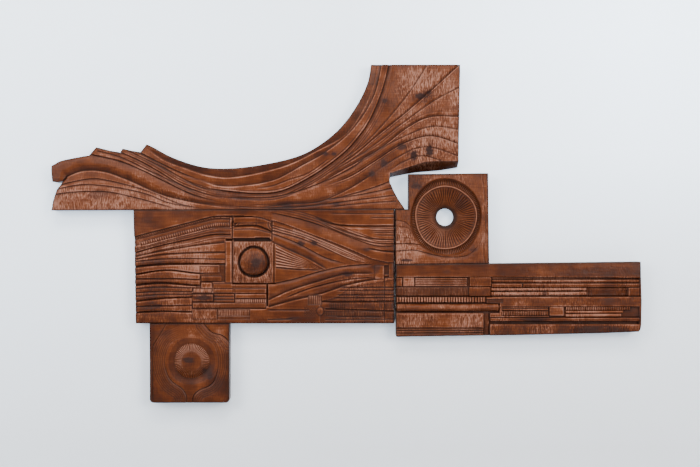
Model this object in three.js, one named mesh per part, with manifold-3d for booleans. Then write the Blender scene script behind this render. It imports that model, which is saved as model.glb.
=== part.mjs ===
// A carved wall panel of five boards in stained softwood.
// Millimetres. X runs to the right along the wall, Z up, and the carved face looks along -Y.
// The backs lie in the plane y = 0, against the wall.
import * as THREE from "three";
import Module from "manifold-3d";
import { mergeVertices } from "three/addons/utils/BufferGeometryUtils.js";

const wasm = await Module();
wasm.setup();

// Driving sizes
const BOARD = 45; // thickness of a board at its fullest
const SEAM = 0.3; // gap between two boards that butt
const FACE = 42; // height of a plain carved surface above the wall
const LOW = 34; // height of a sunk field
const BED = 28; // height of a deep recess
const ROOT = 20; // height that a raised piece reaches down to inside its board
const CLEAR = BOARD + 6; // height above every surface, where a cutter ends
const LINE_STEP = 60; // length of one facet along a carved line
const SWEEP_STEP = 76; // length of one facet along a long sweep of the wing
const EDGE_STEP = 16; // length of one facet along an outline
const STAIN = 0x8a4f33; // colour of the stained wood

// The boards' square edges: left, right, bottom and top.
const CENTRE = { left: -639, right: 144, low: -270, leftLow: -633 };
const ROSETTE = { left: 147, step: 186, stepHigh: 179, right: 428.9, rightHigh: 426, high: 182 };
const PLANK = { left: 149, right: 886, low: -310, lowEnd: -295 };
const BLOCK = { left: -591, right: -351, low: -508 };

// The two seams that run almost level, each a line from one end to the other.
const WING_FOOT = [[-887, 70], [176, 73.5]];
const PLANK_TOP = [[149, -93], [884, -84]];
const levelAt = ([a, b], x) => a[1] + ((b[1] - a[1]) * (x - a[0])) / (b[0] - a[0]);

const BOSS = { x: -279, z: -85, dome: 40, ring: 50 };
const ROUND = { x: 299, z: 49, wide: 107, tall: 117, ring: 92, hole: 26, flutes: 29 };
const DISC = { x: -465, z: -383, well: 60, fluted: 52, eye: 29, flutes: 28 };

// Making solids
const pointOf = (p) => new THREE.Vector3(p[0], 0, p[1]);

// A smooth line through a few points, cut into facets of about one length.
function smooth(points, step = LINE_STEP) {
  const curve = new THREE.CatmullRomCurve3(points.map(pointOf), false, "centripetal");
  const count = Math.max(2, Math.round(curve.getLength() / step));
  return curve.getSpacedPoints(count).map((v) => [v.x, v.z]);
}

function bodyOf(geometry) {
  const bare = geometry.index ? geometry.toNonIndexed() : geometry.clone();
  bare.deleteAttribute("normal");
  bare.deleteAttribute("uv");
  const merged = mergeVertices(bare, 1e-3);
  const build = (tri) =>
    new wasm.Manifold(
      new wasm.Mesh({
        numProp: 3,
        vertProperties: merged.attributes.position.array,
        triVerts: tri,
      }),
    );
  const tri = new Uint32Array(merged.index.array);
  const body = build(tri);
  if (body.volume() > 0) return body;
  for (let i = 0; i < tri.length; i += 3) [tri[i + 1], tri[i + 2]] = [tri[i + 2], tri[i + 1]];
  return build(tri);
}

// A flat piece with the outline given, from one height above the wall to another.
function prism(points, from, to) {
  const shape = new THREE.Shape(points.map(([x, z]) => new THREE.Vector2(x, z)));
  const geometry = new THREE.ExtrudeGeometry(shape, {
    depth: to - from,
    bevelEnabled: false,
    steps: 1,
  });
  geometry.rotateX(Math.PI / 2);
  geometry.translate(0, -from, 0);
  return bodyOf(geometry);
}

const slab = (left, right, low, high, from, to) =>
  prism([[left, low], [right, low], [right, high], [left, high]], from, to);

// A closed body through rings of equal count; each ring is a convex loop of [x, height, z].
function loft(rings) {
  const n = rings[0].length;
  const corners = rings.flat().map(([x, h, z]) => [x, -h, z]);
  const faces = [];
  for (let r = 0; r + 1 < rings.length; r++)
    for (let i = 0; i < n; i++) {
      const a = r * n + i;
      const b = r * n + ((i + 1) % n);
      faces.push(a, b, b + n, a, b + n, a + n);
    }
  const last = (rings.length - 1) * n;
  for (let i = 1; i + 1 < n; i++) {
    faces.push(0, i + 1, i);
    faces.push(last, last + i, last + i + 1);
  }
  const geometry = new THREE.BufferGeometry();
  geometry.setAttribute("position", new THREE.Float32BufferAttribute(corners.flat(), 3));
  geometry.setIndex(faces);
  return bodyOf(geometry);
}

// A smooth line that keeps its distance to the left of another.
function beside(points, gap) {
  const line = smooth(points, EDGE_STEP * 2);
  return leftOf(line).map(([nx, nz], i) => [line[i][0] + nx * gap, line[i][1] + nz * gap]);
}

// The unit vector to the left of a line at each of its points.
function leftOf(line) {
  return line.map((p, i) => {
    const a = line[Math.max(0, i - 1)];
    const b = line[Math.min(line.length - 1, i + 1)];
    const length = Math.hypot(b[0] - a[0], b[1] - a[1]);
    return [-(b[1] - a[1]) / length, (b[0] - a[0]) / length];
  });
}

// How full a cut is along its length: it runs out over the first and last share given.
function fade(t, [head, tail]) {
  const rise = head > 0 ? Math.min(1, t / head) : 1;
  const fall = tail > 0 ? Math.min(1, (1 - t) / tail) : 1;
  return 0.15 + 0.85 * Math.min(rise, fall);
}

// A carved line: deepest on the line, with one slope up to each side.
// `up` is the width of the slope to the left of the line, `down` that to its right.
function groove(
  points,
  { up = 2.5, down = 2.5, deep = 5, from = FACE, ends = [0.12, 0.12], step = LINE_STEP } = {},
) {
  const line = smooth(points, step);
  const side = leftOf(line);
  const lift = 1.5;
  return loft(
    line.map(([x, z], i) => {
      const full = fade(i / (line.length - 1), ends);
      const depth = deep * full;
      const reach = (depth + lift) / deep;
      const [nx, nz] = side[i];
      return [
        [x, from - depth, z],
        [x - nx * down * reach, from + lift, z - nz * down * reach],
        [x + nx * up * reach, from + lift, z + nz * up * reach],
      ];
    }),
  );
}

// A rounded rib along a line.
function rib(points, { wide = 6, base = LOW, rise = 6, ends = [0.1, 0.1] } = {}) {
  const line = smooth(points);
  const side = leftOf(line);
  return loft(
    line.map(([x, z], i) => {
      const full = fade(i / (line.length - 1), ends);
      const [nx, nz] = side[i];
      const half = (wide / 2) * full;
      const at = (across, up) => [x + nx * across, base + up, z + nz * across];
      return [
        at(-half, -5),
        at(half, -5),
        at(half, 0.35 * rise * full),
        at(half * 0.5, rise * full),
        at(-half * 0.5, rise * full),
        at(-half, 0.35 * rise * full),
      ];
    }),
  );
}

// A bevel between a line on the face and a line lower down on the edge.
function bevel(faceLine, edgeLine, { count, thin, past = 14 }) {
  const spaced = (points) =>
    new THREE.CatmullRomCurve3(points.map(pointOf), false, "centripetal").getSpacedPoints(count);
  const inner = spaced(faceLine);
  const outer = spaced(edgeLine);
  return loft(
    inner.map((a, i) => {
      const b = outer[i];
      const length = Math.hypot(b.x - a.x, b.z - a.z);
      const dx = ((b.x - a.x) / length) * past;
      const dz = ((b.z - a.z) / length) * past;
      return [
        [a.x, FACE, a.z],
        [b.x, thin, b.z],
        [b.x + dx, thin, b.z + dz],
        [b.x + dx, CLEAR, b.z + dz],
        [a.x, CLEAR, a.z],
      ];
    }),
  );
}

// A body turned about an axis square to the wall; the profile is [radius, height above the wall].
function turned(profile, x, z, sectors = 40) {
  const geometry = new THREE.LatheGeometry(
    profile.map(([r, h]) => new THREE.Vector2(r, h)),
    sectors,
  );
  geometry.rotateX(Math.PI);
  geometry.translate(x, 0, z);
  return bodyOf(geometry);
}

// A cutter with a fluted floor. Each ring is an ellipse, with the height of its ridges and of the
// valleys between them.
function flutedDish({ x, z, rings, flutes }) {
  const sectors = flutes * 2;
  const corners = [];
  for (const { wide, tall, ridge, valley } of rings)
    for (let s = 0; s < sectors; s++) {
      const angle = (s / sectors) * 2 * Math.PI;
      const height = s % 2 ? valley : ridge;
      corners.push([x + wide * Math.cos(angle), -height, z + tall * Math.sin(angle)]);
    }
  const outer = rings[rings.length - 1];
  for (let s = 0; s < sectors; s++) {
    const angle = (s / sectors) * 2 * Math.PI;
    corners.push([x + outer.wide * Math.cos(angle), -CLEAR, z + outer.tall * Math.sin(angle)]);
  }
  const floorCentre = corners.push([x, -rings[0].ridge, z]) - 1;
  const topCentre = corners.push([x, -CLEAR, z]) - 1;
  const faces = [];
  const rows = rings.length + 1;
  for (let s = 0; s < sectors; s++) {
    const t = (s + 1) % sectors;
    faces.push(floorCentre, s, t);
    for (let r = 0; r + 1 < rows; r++) {
      const a = r * sectors + s;
      const b = r * sectors + t;
      faces.push(a, a + sectors, b + sectors, a, b + sectors, b);
    }
    faces.push(topCentre, (rows - 1) * sectors + t, (rows - 1) * sectors + s);
  }
  const geometry = new THREE.BufferGeometry();
  geometry.setAttribute("position", new THREE.Float32BufferAttribute(corners.flat(), 3));
  geometry.setIndex(faces);
  return bodyOf(geometry);
}

const union = (bodies) => bodies.reduce((sum, body) => sum.add(body));
const cutAll = (body, cutters) => body.subtract(union(cutters));

// Notches of one size in a row, which leave teeth or beads between them.
function notches({ from, to, low, high, pitch, wide, floor }) {
  const count = Math.round((to - from) / pitch);
  return Array.from({ length: count }, (_, i) => {
    const x = from + (i + 0.5) * ((to - from) / count);
    return slab(x - wide / 2, x + wide / 2, low, high, floor, CLEAR);
  });
}

// Notches square to a carved line.
function notchesAlong(points, { pitch, wide, high, floor }) {
  const line = smooth(points, pitch);
  const side = leftOf(line);
  return line.slice(1, -1).map(([x, z], i) => {
    const [nx, nz] = side[i + 1];
    const along = [nz, -nx];
    const corner = (a, b) => [
      x + along[0] * a * 0.5 * wide + nx * b * 0.5 * high,
      z + along[1] * a * 0.5 * wide + nz * b * 0.5 * high,
    ];
    return prism([corner(-1, -1), corner(1, -1), corner(1, 1), corner(-1, 1)], floor, CLEAR);
  });
}

// Wing board
function wingBoard() {
  const finger = [[-838, 173], [-853, 158], [-870, 154], [-883, 156], [-886, 176], [-887, 204]];
  const fingerTop = [[-887, 204], [-859, 219], [-829, 226], [-773, 236]];
  const tips = [[-769, 239], [-751, 260], [-711, 250], [-679, 244], [-672, 256], [-647, 250]];
  const lastTip = [[-618, 245], [-600, 269]];
  const hollow = [[-589, 264], [-529, 232], [-439, 202], [-364, 196], [-244, 209], [-124, 242],
    [-28, 308], [32, 386], [65, 457], [74, 508]];
  const notch = [[131, 171], [133, 152], [150, 114], WING_FOOT[1]];
  const lobe = [WING_FOOT[0], [-884, 92], [-878, 114], [-870, 133], [-859, 148], [-840, 170]];
  const underEdge = [[337, 201], [281, 192], [206, 185], [131, 171]];
  const underFace = [[342, 218], [281, 219], [236, 216], [191, 202], [137, 184]];
  const outline = [
    ...finger,
    ...smooth(fingerTop, EDGE_STEP * 2).slice(1),
    ...tips,
    ...lastTip,
    ...smooth(hollow, EDGE_STEP * 2),
    [342, 508],
    ...smooth(underEdge, EDGE_STEP * 2),
    ...smooth(notch, EDGE_STEP).slice(1),
    ...smooth(lobe, EDGE_STEP).slice(0, -1),
  ];
  const rim = [[-600, 250], [-544, 217], [-480, 194], [-418, 177], [-353, 170], [-259, 184],
    [-171, 208], [-91, 247], [-4, 298], [50, 373], [80, 446], [93, 512]];
  const fingerLow = [[-842, 171], [-799, 188], [-733, 188], [-658, 163], [-561, 120],
    [-465, 96], [-321, 75]];
  const fingerHigh = [[-768, 238], [-679, 217], [-615, 191], [-518, 143], [-454, 114], [-364, 92]];
  const body = prism(outline, 0, FACE);
  const carve = (points, options) => groove(points, { step: SWEEP_STEP, ...options });
  const lines = [
    // the lobe's three lapped lines
    carve([[-874, 118], [-818, 125], [-722, 126], [-649, 112], [-565, 90], [-502, 72]],
      { up: 3, down: 12, deep: 5, ends: [0, 0.2] }),
    carve([[-866, 135], [-793, 147], [-712, 142], [-600, 119], [-540, 95], [-439, 74]],
      { up: 3, down: 11, deep: 5, ends: [0, 0.2] }),
    carve([[-862, 145], [-812, 158], [-754, 165], [-690, 154], [-587, 125], [-499, 89], [-427, 75]],
      { up: 3, down: 10, deep: 5, ends: [0, 0.2] }),
    // the rounded finger
    carve(fingerLow, { up: 16, down: 5, deep: 8, ends: [0, 0.3] }),
    carve(fingerHigh, { up: 6, down: 14, deep: 7, ends: [0, 0.3] }),
    // the stepped tips
    carve([[-748, 249], [-679, 230], [-608, 197], [-529, 160], [-439, 118]],
      { up: 3, down: 8, deep: 5, ends: [0, 0.2] }),
    carve([[-677, 244], [-625, 221], [-559, 184], [-499, 148], [-439, 125]],
      { up: 3, down: 8, deep: 6, ends: [0, 0.2] }),
    carve([[-658, 250], [-574, 210], [-499, 170], [-439, 140], [-390, 130]],
      { up: 3, down: 7, deep: 5, ends: [0, 0.2] }),
    carve([[-617, 242], [-559, 212], [-499, 184], [-439, 161]],
      { up: 3, down: 9, deep: 6, ends: [0, 0.3] }),
    // the long sweeps under the hollow edge
    carve([[-439, 161], [-379, 144], [-304, 146], [-214, 163], [-133, 206], [-64, 245], [17, 313],
      [80, 410], [107, 512]], { up: 14, down: 3, deep: 5, ends: [0.1, 0] }),
    carve([[-427, 137], [-349, 127], [-274, 121], [-199, 127], [-124, 161], [-49, 209], [11, 260],
      [71, 341], [110, 435], [130, 512]], { up: 4, down: 11, deep: 7, ends: [0.1, 0] }),
    carve([[-364, 110], [-289, 107], [-214, 112], [-154, 125], [-94, 146], [-34, 172], [26, 204],
      [77, 251]], { up: 3, down: 9, deep: 5 }),
    carve([[-253, 80], [-169, 89], [-79, 97], [-19, 122], [26, 146], [77, 178]],
      { up: 10, down: 4, deep: 6 }),
    carve([[-274, 137], [-223, 143], [-175, 161], [-118, 180], [-49, 227]], { deep: 4 }),
    // the flight lines of the wing
    carve([[-64, 190], [-28, 212], [56, 272], [131, 352], [191, 427], [247, 512]],
      { up: 10, down: 3, deep: 5, ends: [0.2, 0] }),
    carve([[-49, 187], [26, 238], [90, 292], [176, 362], [257, 433], [346, 512]],
      { up: 10, down: 3, deep: 6, ends: [0.2, 0] }),
    carve([[-49, 180], [71, 257], [176, 337], [266, 401], [346, 443]],
      { up: 10, down: 3, deep: 6, ends: [0.2, 0] }),
    carve([[-94, 143], [-28, 182], [99, 255], [191, 324], [251, 351], [346, 352]],
      { up: 12, down: 3, deep: 6, ends: [0.2, 0] }),
    carve([[26, 203], [101, 254], [187, 298], [257, 322], [346, 312]],
      { up: 8, down: 3, deep: 5, ends: [0.2, 0] }),
    carve([[-64, 143], [15, 174], [90, 221], [165, 268], [251, 294], [346, 268]],
      { up: 9, down: 3, deep: 6, ends: [0.2, 0] }),
    carve([[77, 179], [146, 224], [206, 255], [251, 260], [346, 230]],
      { up: 8, down: 3, deep: 5, ends: [0.2, 0] }),
    // short lines by the notch
    carve([[-28, 107], [71, 135], [134, 158]], { up: 3, down: 9, deep: 5, ends: [0.2, 0] }),
    carve([[-79, 100], [56, 120], [138, 137]], { up: 3, down: 8, deep: 5, ends: [0.2, 0] }),
    carve([[-79, 86], [26, 101], [156, 117]], { up: 3, down: 7, deep: 5, ends: [0.2, 0] }),
  ];
  const edges = [
    bevel(underFace, underEdge, { count: 12, thin: 10 }),
    bevel(rim, hollow, { count: 20, thin: 31 }),
    bevel([[-880, 200], [-859, 211], [-829, 219], [-776, 230]], fingerTop,
      { count: 4, thin: 33, past: 8 }),
  ];
  return cutAll(body, [...lines, ...edges]);
}

// Centre board
function centreBoard() {
  const c = CENTRE;
  const outline = [[c.leftLow, c.low], [c.right, c.low],
    [c.right, levelAt(WING_FOOT, c.right) - SEAM], [c.left, levelAt(WING_FOOT, c.left) - SEAM]];
  const crest = [[-645, -11], [-559, 11], [-469, 34], [-394, 52], [-270, 51], [-199, 34],
    [-109, 0], [-19, -34], [77, -75]];
  const lap = [[-645, -60], [-559, -36], [-469, -17], [-403, -3], [-348, -2]];
  const brow = [[-226, 63], [-139, 44], [-64, 20], [26, -16], [95, -37], [150, -36]];
  const lidLow = [[-223, -25], [-169, -50], [-109, -77], [-57, -108]];
  const chevronHigh = [[-233, -152], [-169, -140], [-79, -114], [-4, -98], [80, -92]];
  const chevronMid = [[-234, -199], [-169, -170], [-79, -142], [-4, -122], [80, -119]];
  const chevronLow = [[-233, -220], [-169, -202], [-79, -181], [11, -152], [150, -127]];
  const body = prism(outline, 0, BOARD);

  // the plain field above the crest stays full; all below it goes down to the face
  const below = [...smooth(crest), [150, -92], [150, -280], [-650, -280], [-650, -11]];
  const right = [...smooth(crest.slice(4)), [90, -60], [150, -58], [150, 80], [-233, 80]];
  const terraces = [
    prism(below, FACE - 3, CLEAR),
    prism(right, FACE, CLEAR),
    // under the crest: a strip that carries the beads
    prism([...smooth([[-645, -15], [-559, 7], [-469, 30], [-394, 48], [-350, 48]]),
      [-350, 18], [-403, 16], [-469, 4], [-559, -17], [-645, -40]], LOW, CLEAR),
    // ground to the right of the stepped laps
    slab(-363, -343, -21, -14, BED, CLEAR),
    prism([[-382, -94], [-364, -94], [-364, -146], [-403, -146], [-403, -175], [-465, -175],
      [-465, -160], [-442, -160], [-442, -122], [-382, -116]], LOW - 2, CLEAR),
    slab(-465, -241, -227, -178, LOW, CLEAR),
    slab(-388, -289, -256, -227, LOW, CLEAR),
    // the sunk square and the shadow gap above it
    slab(-339, -223, -148, -23, LOW - 1, CLEAR),
    prism([[-345, -10], [-230, -12], [-223, -24], [-345, -24]], BED - 2, CLEAR),
    slab(-347, -211, -153, -148, BED, CLEAR),
    slab(-223, -213, -148, -24, LOW + 2, CLEAR),
    // ground of the eye, right of the square
    prism([[-213, -32], ...smooth(lidLow).slice(1), [-57, -110], [-79, -113],
      ...smooth(chevronHigh).reverse().filter(([x]) => x < -79 && x > -213), [-213, -150]],
      LOW, CLEAR),
    // ground at the lower right
    prism([[-80, -203], [-30, -192], [11, -160], [150, -136], [150, -280], [-80, -280]],
      FACE - 6, CLEAR),
    slab(113, 128, -124, -94, BED, CLEAR),
    slab(-241, -234, -217, -154, BED + 2, CLEAR),
    slab(-115, -73, -214, -186, LOW, CLEAR),
    slab(-64, 113, -247, -233, LOW, CLEAR),
  ];
  const raised = [
    slab(-436, -404, -174, -147, ROOT, FACE - 2),
    slab(-399, -341, -176, -150, ROOT, FACE - 2),
    slab(-436, -375, -143, -128, ROOT, FACE - 4),
    slab(-463, -401, -203, -183, ROOT, FACE - 3),
    slab(-460, -241, -223, -209, ROOT, FACE - 4),
    slab(-386, -291, -250, -233, ROOT, FACE - 5),
    slab(-334, -241, -208, -196, ROOT, FACE - 4),
    slab(-334, -241, -194, -178, ROOT, FACE - 3),
    prism([[-211, -103], [-88, -112], [-150, -135], [-211, -150]], ROOT, FACE - 3),
    ...[0, 1, 2, 3, 4].map((i) =>
      rib([[-211, -45 - i * 12], [-150, -66 - i * 9], [-84, -104 - i]],
        { wide: 8, base: LOW, rise: 4, ends: [0, 0.5] })),
    turned([[0, ROOT], [BOSS.dome, ROOT], [BOSS.dome, LOW], [BOSS.dome * 0.93, FACE - 4],
      [BOSS.dome * 0.75, BOARD - 2], [BOSS.dome * 0.4, BOARD], [0, BOARD]], BOSS.x, BOSS.z, 28),
  ];
  const deep = (points, options) => groove(points, { from: FACE - 3, ...options });
  const sunk = (points, options) => groove(points, { from: FACE - 6, ...options });
  const lapped = { up: 3, down: 7, ends: [0, 0] };
  const plain = { up: 3, down: 3, deep: 4, ends: [0, 0] };
  const laps = [
    { deep: 5, line: [[-645, -79], [-559, -64], [-469, -58], [-362, -56]] },
    { deep: 7, line: [[-645, -102], [-559, -94], [-469, -92], [-362, -93]] },
    { deep: 8, line: [[-645, -125], [-544, -110], [-451, -119], [-380, -121]] },
    { deep: 7, line: [[-645, -157], [-559, -150], [-440, -158]] },
    { deep: 6, line: [[-645, -205], [-559, -195], [-463, -191]] },
    { deep: 6, line: [[-645, -239], [-559, -234], [-464, -236]] },
  ];
  const lines = [
    turned([[BOSS.dome, CLEAR], [BOSS.dome, BED], [BOSS.ring, LOW], [BOSS.ring, CLEAR],
      [BOSS.dome, CLEAR]], BOSS.x, BOSS.z, 28),
    deep(lap, { up: 3, down: 10, deep: 6, ends: [0, 0] }),
    deep([[-645, -70], [-529, -48], [-439, -34], [-366, -26]],
      { up: 6, down: 2, deep: 4, ends: [0, 0] }),
    ...laps.map((lap) => deep(lap.line, { ...lapped, deep: lap.deep })),
    deep([[-645, -136], [-529, -135], [-440, -138]], plain),
    deep([[-645, -219], [-463, -215]], plain),
    slab(-345, -342, -148, 55, LOW - 2, CLEAR),
    // lid and fan
    deep([[-334, 19], [-271, 22], [-244, 14], [-223, 6]], { up: 4, down: 5, deep: 7, ends: [0, 0] }),
    slab(-224.5, -221.5, -12, 36, LOW, CLEAR),
    deep([[-222, 25], [-139, 1], [-34, -41], [71, -85]], { up: 3, down: 6, deep: 4 }),
    deep([[-222, 11], [-139, -17], [-49, -58], [65, -87]], { up: 3, down: 6, deep: 5 }),
    deep([[-222, -1], [-151, -28], [-64, -73], [-4, -92]], { up: 3, down: 6, deep: 5 }),
    deep(lidLow, { up: 8, down: 2, deep: 4, ends: [0, 0.1] }),
    deep(chevronHigh, { up: 3, down: 8, deep: 4 }),
    deep(chevronMid, { up: 12, down: 3, deep: 6, ends: [0, 0.1] }),
    deep([[-184, -193], [-124, -169], [-64, -152], [-4, -139], [80, -131]], { deep: 4 }),
    deep(chevronLow, { up: 9, down: 3, deep: 6, ends: [0, 0] }),
    // brow
    groove(brow, { up: 3, down: 14, deep: 5, ends: [0.1, 0] }),
    groove([[-94, 49], [-49, 32], [-4, 25], [150, 23]], { up: 3, down: 7, deep: 6, ends: [0.1, 0] }),
    groove([[-79, 38], [-19, 12], [65, -13], [150, -18]], { up: 3, down: 6, deep: 5, ends: [0.1, 0] }),
    groove([[60, -44], [112, -53], [150, -56]], { up: 8, down: 3, deep: 6, ends: [0.2, 0] }),
    groove([[-49, 61], [150, 60]], { deep: 3, ends: [0.1, 0] }),
    // lower right
    ...[-161, -170, -184].map((z) => sunk([[-19, z], [150, z]], { down: 5, deep: 4, ends: [0.1, 0] })),
    sunk([[-76, -203], [-19, -204], [150, -203]], { up: 3, down: 6, deep: 5, ends: [0, 0] }),
    sunk([[-64, -226], [150, -233]], { up: 3, down: 5, deep: 5, ends: [0, 0] }),
    deep([[-235, -229], [-70, -229]], { up: 3, down: 4, deep: 4 }),
    sunk([[-235, -258], [150, -256]], plain),
  ];
  const beads = [
    ...notchesAlong([[-635, -12], [-559, 9], [-469, 27], [-350, 32]],
      { pitch: 19, wide: 7, high: 16, floor: LOW - 4 }),
    ...notches({ from: -334, to: -241, low: -208, high: -196, pitch: 10, wide: 4, floor: LOW + 1 }),
  ];
  return cutAll(union([cutAll(body, terraces), ...raised]), [...lines, ...beads]);
}

// Rosette board
function rosetteBoard() {
  const r = ROSETTE;
  const outline = [[r.left, levelAt(PLANK_TOP, r.left) + SEAM],
    [r.right, levelAt(PLANK_TOP, r.right) + SEAM], [r.rightHigh, r.high], [r.step, r.stepHigh],
    [r.step, levelAt(WING_FOOT, r.step) - SEAM],
    [r.left, levelAt(WING_FOOT, r.left) - SEAM]];
  const dish = flutedDish({
    x: ROUND.x,
    z: ROUND.z,
    flutes: ROUND.flutes,
    rings: [
      { wide: ROUND.hole * 0.8, tall: ROUND.hole * 0.8, ridge: 20, valley: 18 },
      { wide: ROUND.hole * 1.5, tall: ROUND.hole * 1.5, ridge: 25, valley: 21 },
      { wide: ROUND.ring * 0.72, tall: ROUND.ring * 0.74, ridge: 32, valley: 29 },
      { wide: ROUND.ring - 4, tall: ROUND.ring, ridge: 39, valley: 36 },
      { wide: ROUND.ring, tall: ROUND.ring + 4, ridge: 40, valley: 40 },
      { wide: ROUND.wide * 0.93, tall: ROUND.tall * 0.93, ridge: 36, valley: 33 },
      { wide: ROUND.wide, tall: ROUND.tall, ridge: BOARD + 2, valley: BOARD + 2 },
    ],
  });
  const hole = turned([[0, -5], [ROUND.hole, -5], [ROUND.hole, CLEAR], [0, CLEAR]],
    ROUND.x - 1, ROUND.z + 1, 36);
  const flow = (points, down, deep) => groove(points, { up: 3, down, deep, ends: [0, 0.2] });
  const lines = [
    flow([[140, 41], [176, 35], [197, 15], [221, -15], [251, -41]], 9, 6),
    flow([[140, 23], [179, 19], [197, 7], [218, -20]], 6, 5),
    flow([[140, 8], [190, 5]], 2.5, 3),
    flow([[140, -14], [191, -14], [217, -25]], 6, 5),
    flow([[140, -31], [206, -31], [245, -41], [284, -56], [325, -66]], 7, 5),
    flow([[140, -53], [206, -50], [251, -61], [299, -70], [365, -64], [403, -25], [412, 30]], 6, 5),
    groove([[407, 186], [415, 116], [418, 26], [413, -49], [416, -97]],
      { down: 3, deep: 3, ends: [0, 0] }),
  ];
  return cutAll(prism(outline, 0, FACE), [dish, hole, ...lines]);
}

// Long plank
function longPlank() {
  const p = PLANK;
  const outline = [PLANK_TOP[0], PLANK_TOP[1],
    [p.right + 1, -200], [p.right, -271], [p.right - 2, -284], [p.right - 8, p.lowEnd + 1],
    [760, -299], [490, -305], [p.left + 2, p.low], [p.left, p.low + 3]];
  const body = prism(outline, 0, FACE);
  const end = p.right - 4; // the fields stop short of the end of the plank
  const sunk = [
    slab(140, 367, -190, -129, LOW, CLEAR),
    slab(367, 437, -192, -129, LOW + 2, CLEAR),
    slab(140, 421, -209, -188, LOW, CLEAR),
    slab(140, 462, -240, -209, LOW - 3, CLEAR),
    slab(413, 431, -320, -238, LOW - 2, CLEAR),
    slab(140, 414, -320, -283, FACE - 4, CLEAR),
    slab(435, end, -189, -134, LOW, CLEAR),
    slab(467, 611, -247, -218, LOW, CLEAR),
    slab(609, end, -252, -218, LOW, CLEAR),
    slab(431, end, -272, -251.5, FACE - 4, CLEAR),
    slab(431, end, -273, -264, BED, CLEAR),
    slab(727, 846, -191, -163, BED, CLEAR),
  ];
  const strip = (left, right, low, high, top) => slab(left, right, low, high, ROOT, top);
  const raised = [
    strip(p.left + 0.5, 168, -158, -133, 39),
    strip(171, 204, -158, -131.5, 40),
    ...[0, 1, 2, 3].map((i) => strip(207, 363, -137 - i * 6.6, -133 - i * 6.6, 38.5)),
    strip(371, 435, -158, -131, 44),
    strip(369, 433, -188, -160.5, 40.5),
    strip(p.left + 0.5, 419, -206, -191, 41),
    strip(437, end - 1, -146.5, -138.5, 39),
    strip(437, end - 1, -161, -151, 39),
    strip(467, 607, -224, -219, 38.5),
    strip(467, 607, -231, -226, 38.5),
    strip(467, 607, -246, -233, 40),
    strip(611, 653, -246.5, -220, 41),
    strip(659, 854, -230, -220, 40),
    strip(end - 41, end - 1, -189, -163, 40),
  ];
  const bars = [
    rib([[152, -223], [305, -223], [458, -221]], { wide: 22, base: LOW - 3, rise: 13, ends: [0, 0] }),
    rib([[434, -168], [722, -167]], { wide: 9, base: LOW, rise: 8, ends: [0, 0] }),
    rib([[434, -181], [722, -180]], { wide: 12, base: LOW, rise: 9, ends: [0, 0] }),
    rib([[659, -235.5], [833, -235]], { wide: 8, base: LOW, rise: 7, ends: [0, 0] }),
    rib([[659, -246], [827, -245]], { wide: 10, base: LOW, rise: 8, ends: [0, 0] }),
  ];
  const teeth = [
    ...notches({ from: 152, to: 419, low: -207, high: -190, pitch: 13.3, wide: 5, floor: LOW }),
    ...notches({ from: 173, to: 366, low: -187, high: -161, pitch: 14, wide: 5.5, floor: LOW - 4 }),
    ...notches({ from: 468, to: 606, low: -247, high: -232, pitch: 12.5, wide: 4.6, floor: LOW }),
    ...notches({ from: 660, to: 853, low: -231, high: -219, pitch: 13, wide: 5, floor: LOW }),
  ];
  const lines = [
    groove([[140, -291], [412, -291]], { deep: 3, from: FACE - 4, ends: [0, 0] }),
    groove([[140, -300], [412, -299]], { deep: 3, from: FACE - 4, ends: [0, 0] }),
  ];
  return cutAll(union([cutAll(body, sunk), ...raised, ...bars]), [...teeth, ...lines]);
}

// Lower block
function lowerBlock() {
  const b = BLOCK;
  const { x, z } = DISC;
  const high = CENTRE.low - SEAM;
  const outline = [[b.left, high], [b.left + 1, b.low + 9], [b.left + 4, b.low + 3], [b.left + 10, b.low],
    [b.right - 8, b.low + 0.5], [b.right - 3, b.low + 4], [b.right - 0.5, b.low + 10], [b.right, high]];
  const dropLeft = [[-479, -514], [-480, -487], [-492, -467], [-528, -439], [-546, -383], [-527, -328],
    [-485, -306]];
  const dropRight = [[-463, -514], [-459, -487], [-444, -471], [-402, -449], [-384, -383], [-401, -328],
    [-445, -306]];
  const body = prism(outline, 0, FACE);
  const well = turned([[0, LOW - 6], [DISC.well - 8, LOW - 6], [DISC.well, LOW], [DISC.well + 7, CLEAR],
    [0, CLEAR]], x, z, 28);
  // the disc: a low cone with a flat eye, fluted between the eye and its edge
  const cone = turned([[0, ROOT], [DISC.fluted + 3, ROOT], [DISC.fluted + 3, LOW],
    [DISC.fluted, FACE - 4], [DISC.eye, BOARD - 3], [0, BOARD - 3]], x, z, 28);
  const flutes = flutedDish({
    x,
    z,
    flutes: DISC.flutes,
    rings: [
      { wide: DISC.eye, tall: DISC.eye, ridge: BOARD - 7, valley: BOARD - 9 },
      { wide: DISC.fluted, tall: DISC.fluted, ridge: FACE - 4, valley: LOW },
      { wide: DISC.fluted + 6, tall: DISC.fluted + 6, ridge: FACE - 7, valley: FACE - 7 },
    ],
  });
  const eye = turned([[0, 0], [DISC.eye - 1, 0], [DISC.eye - 6, BOARD - 3], [0, BOARD]], x, z, 28);
  const disc = cone.subtract(flutes.subtract(eye));
  const line = (points, up, down, deep) => groove(points, { up, down, deep, ends: [0, 0], step: 40 });
  const lines = [
    line(dropLeft, 9, 3, 6),
    line(dropRight, 3, 9, 6),
    line(beside(dropLeft, 17), 5, 3, 4),
    line(beside(dropRight, -17), 3, 5, 4),
    line([[-538, -268], [-564, -311], [-581, -341], [-582, -415], [-580, -512]], 3, 9, 5),
    line([[-432, -268], [-404, -296], [-372, -306], [-346, -332]], 3, 10, 6),
  ];
  return cutAll(body, [well, ...lines]).add(disc);
}

// Assembly
const group = new THREE.Group();
group.name = "carved_panel";

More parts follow.
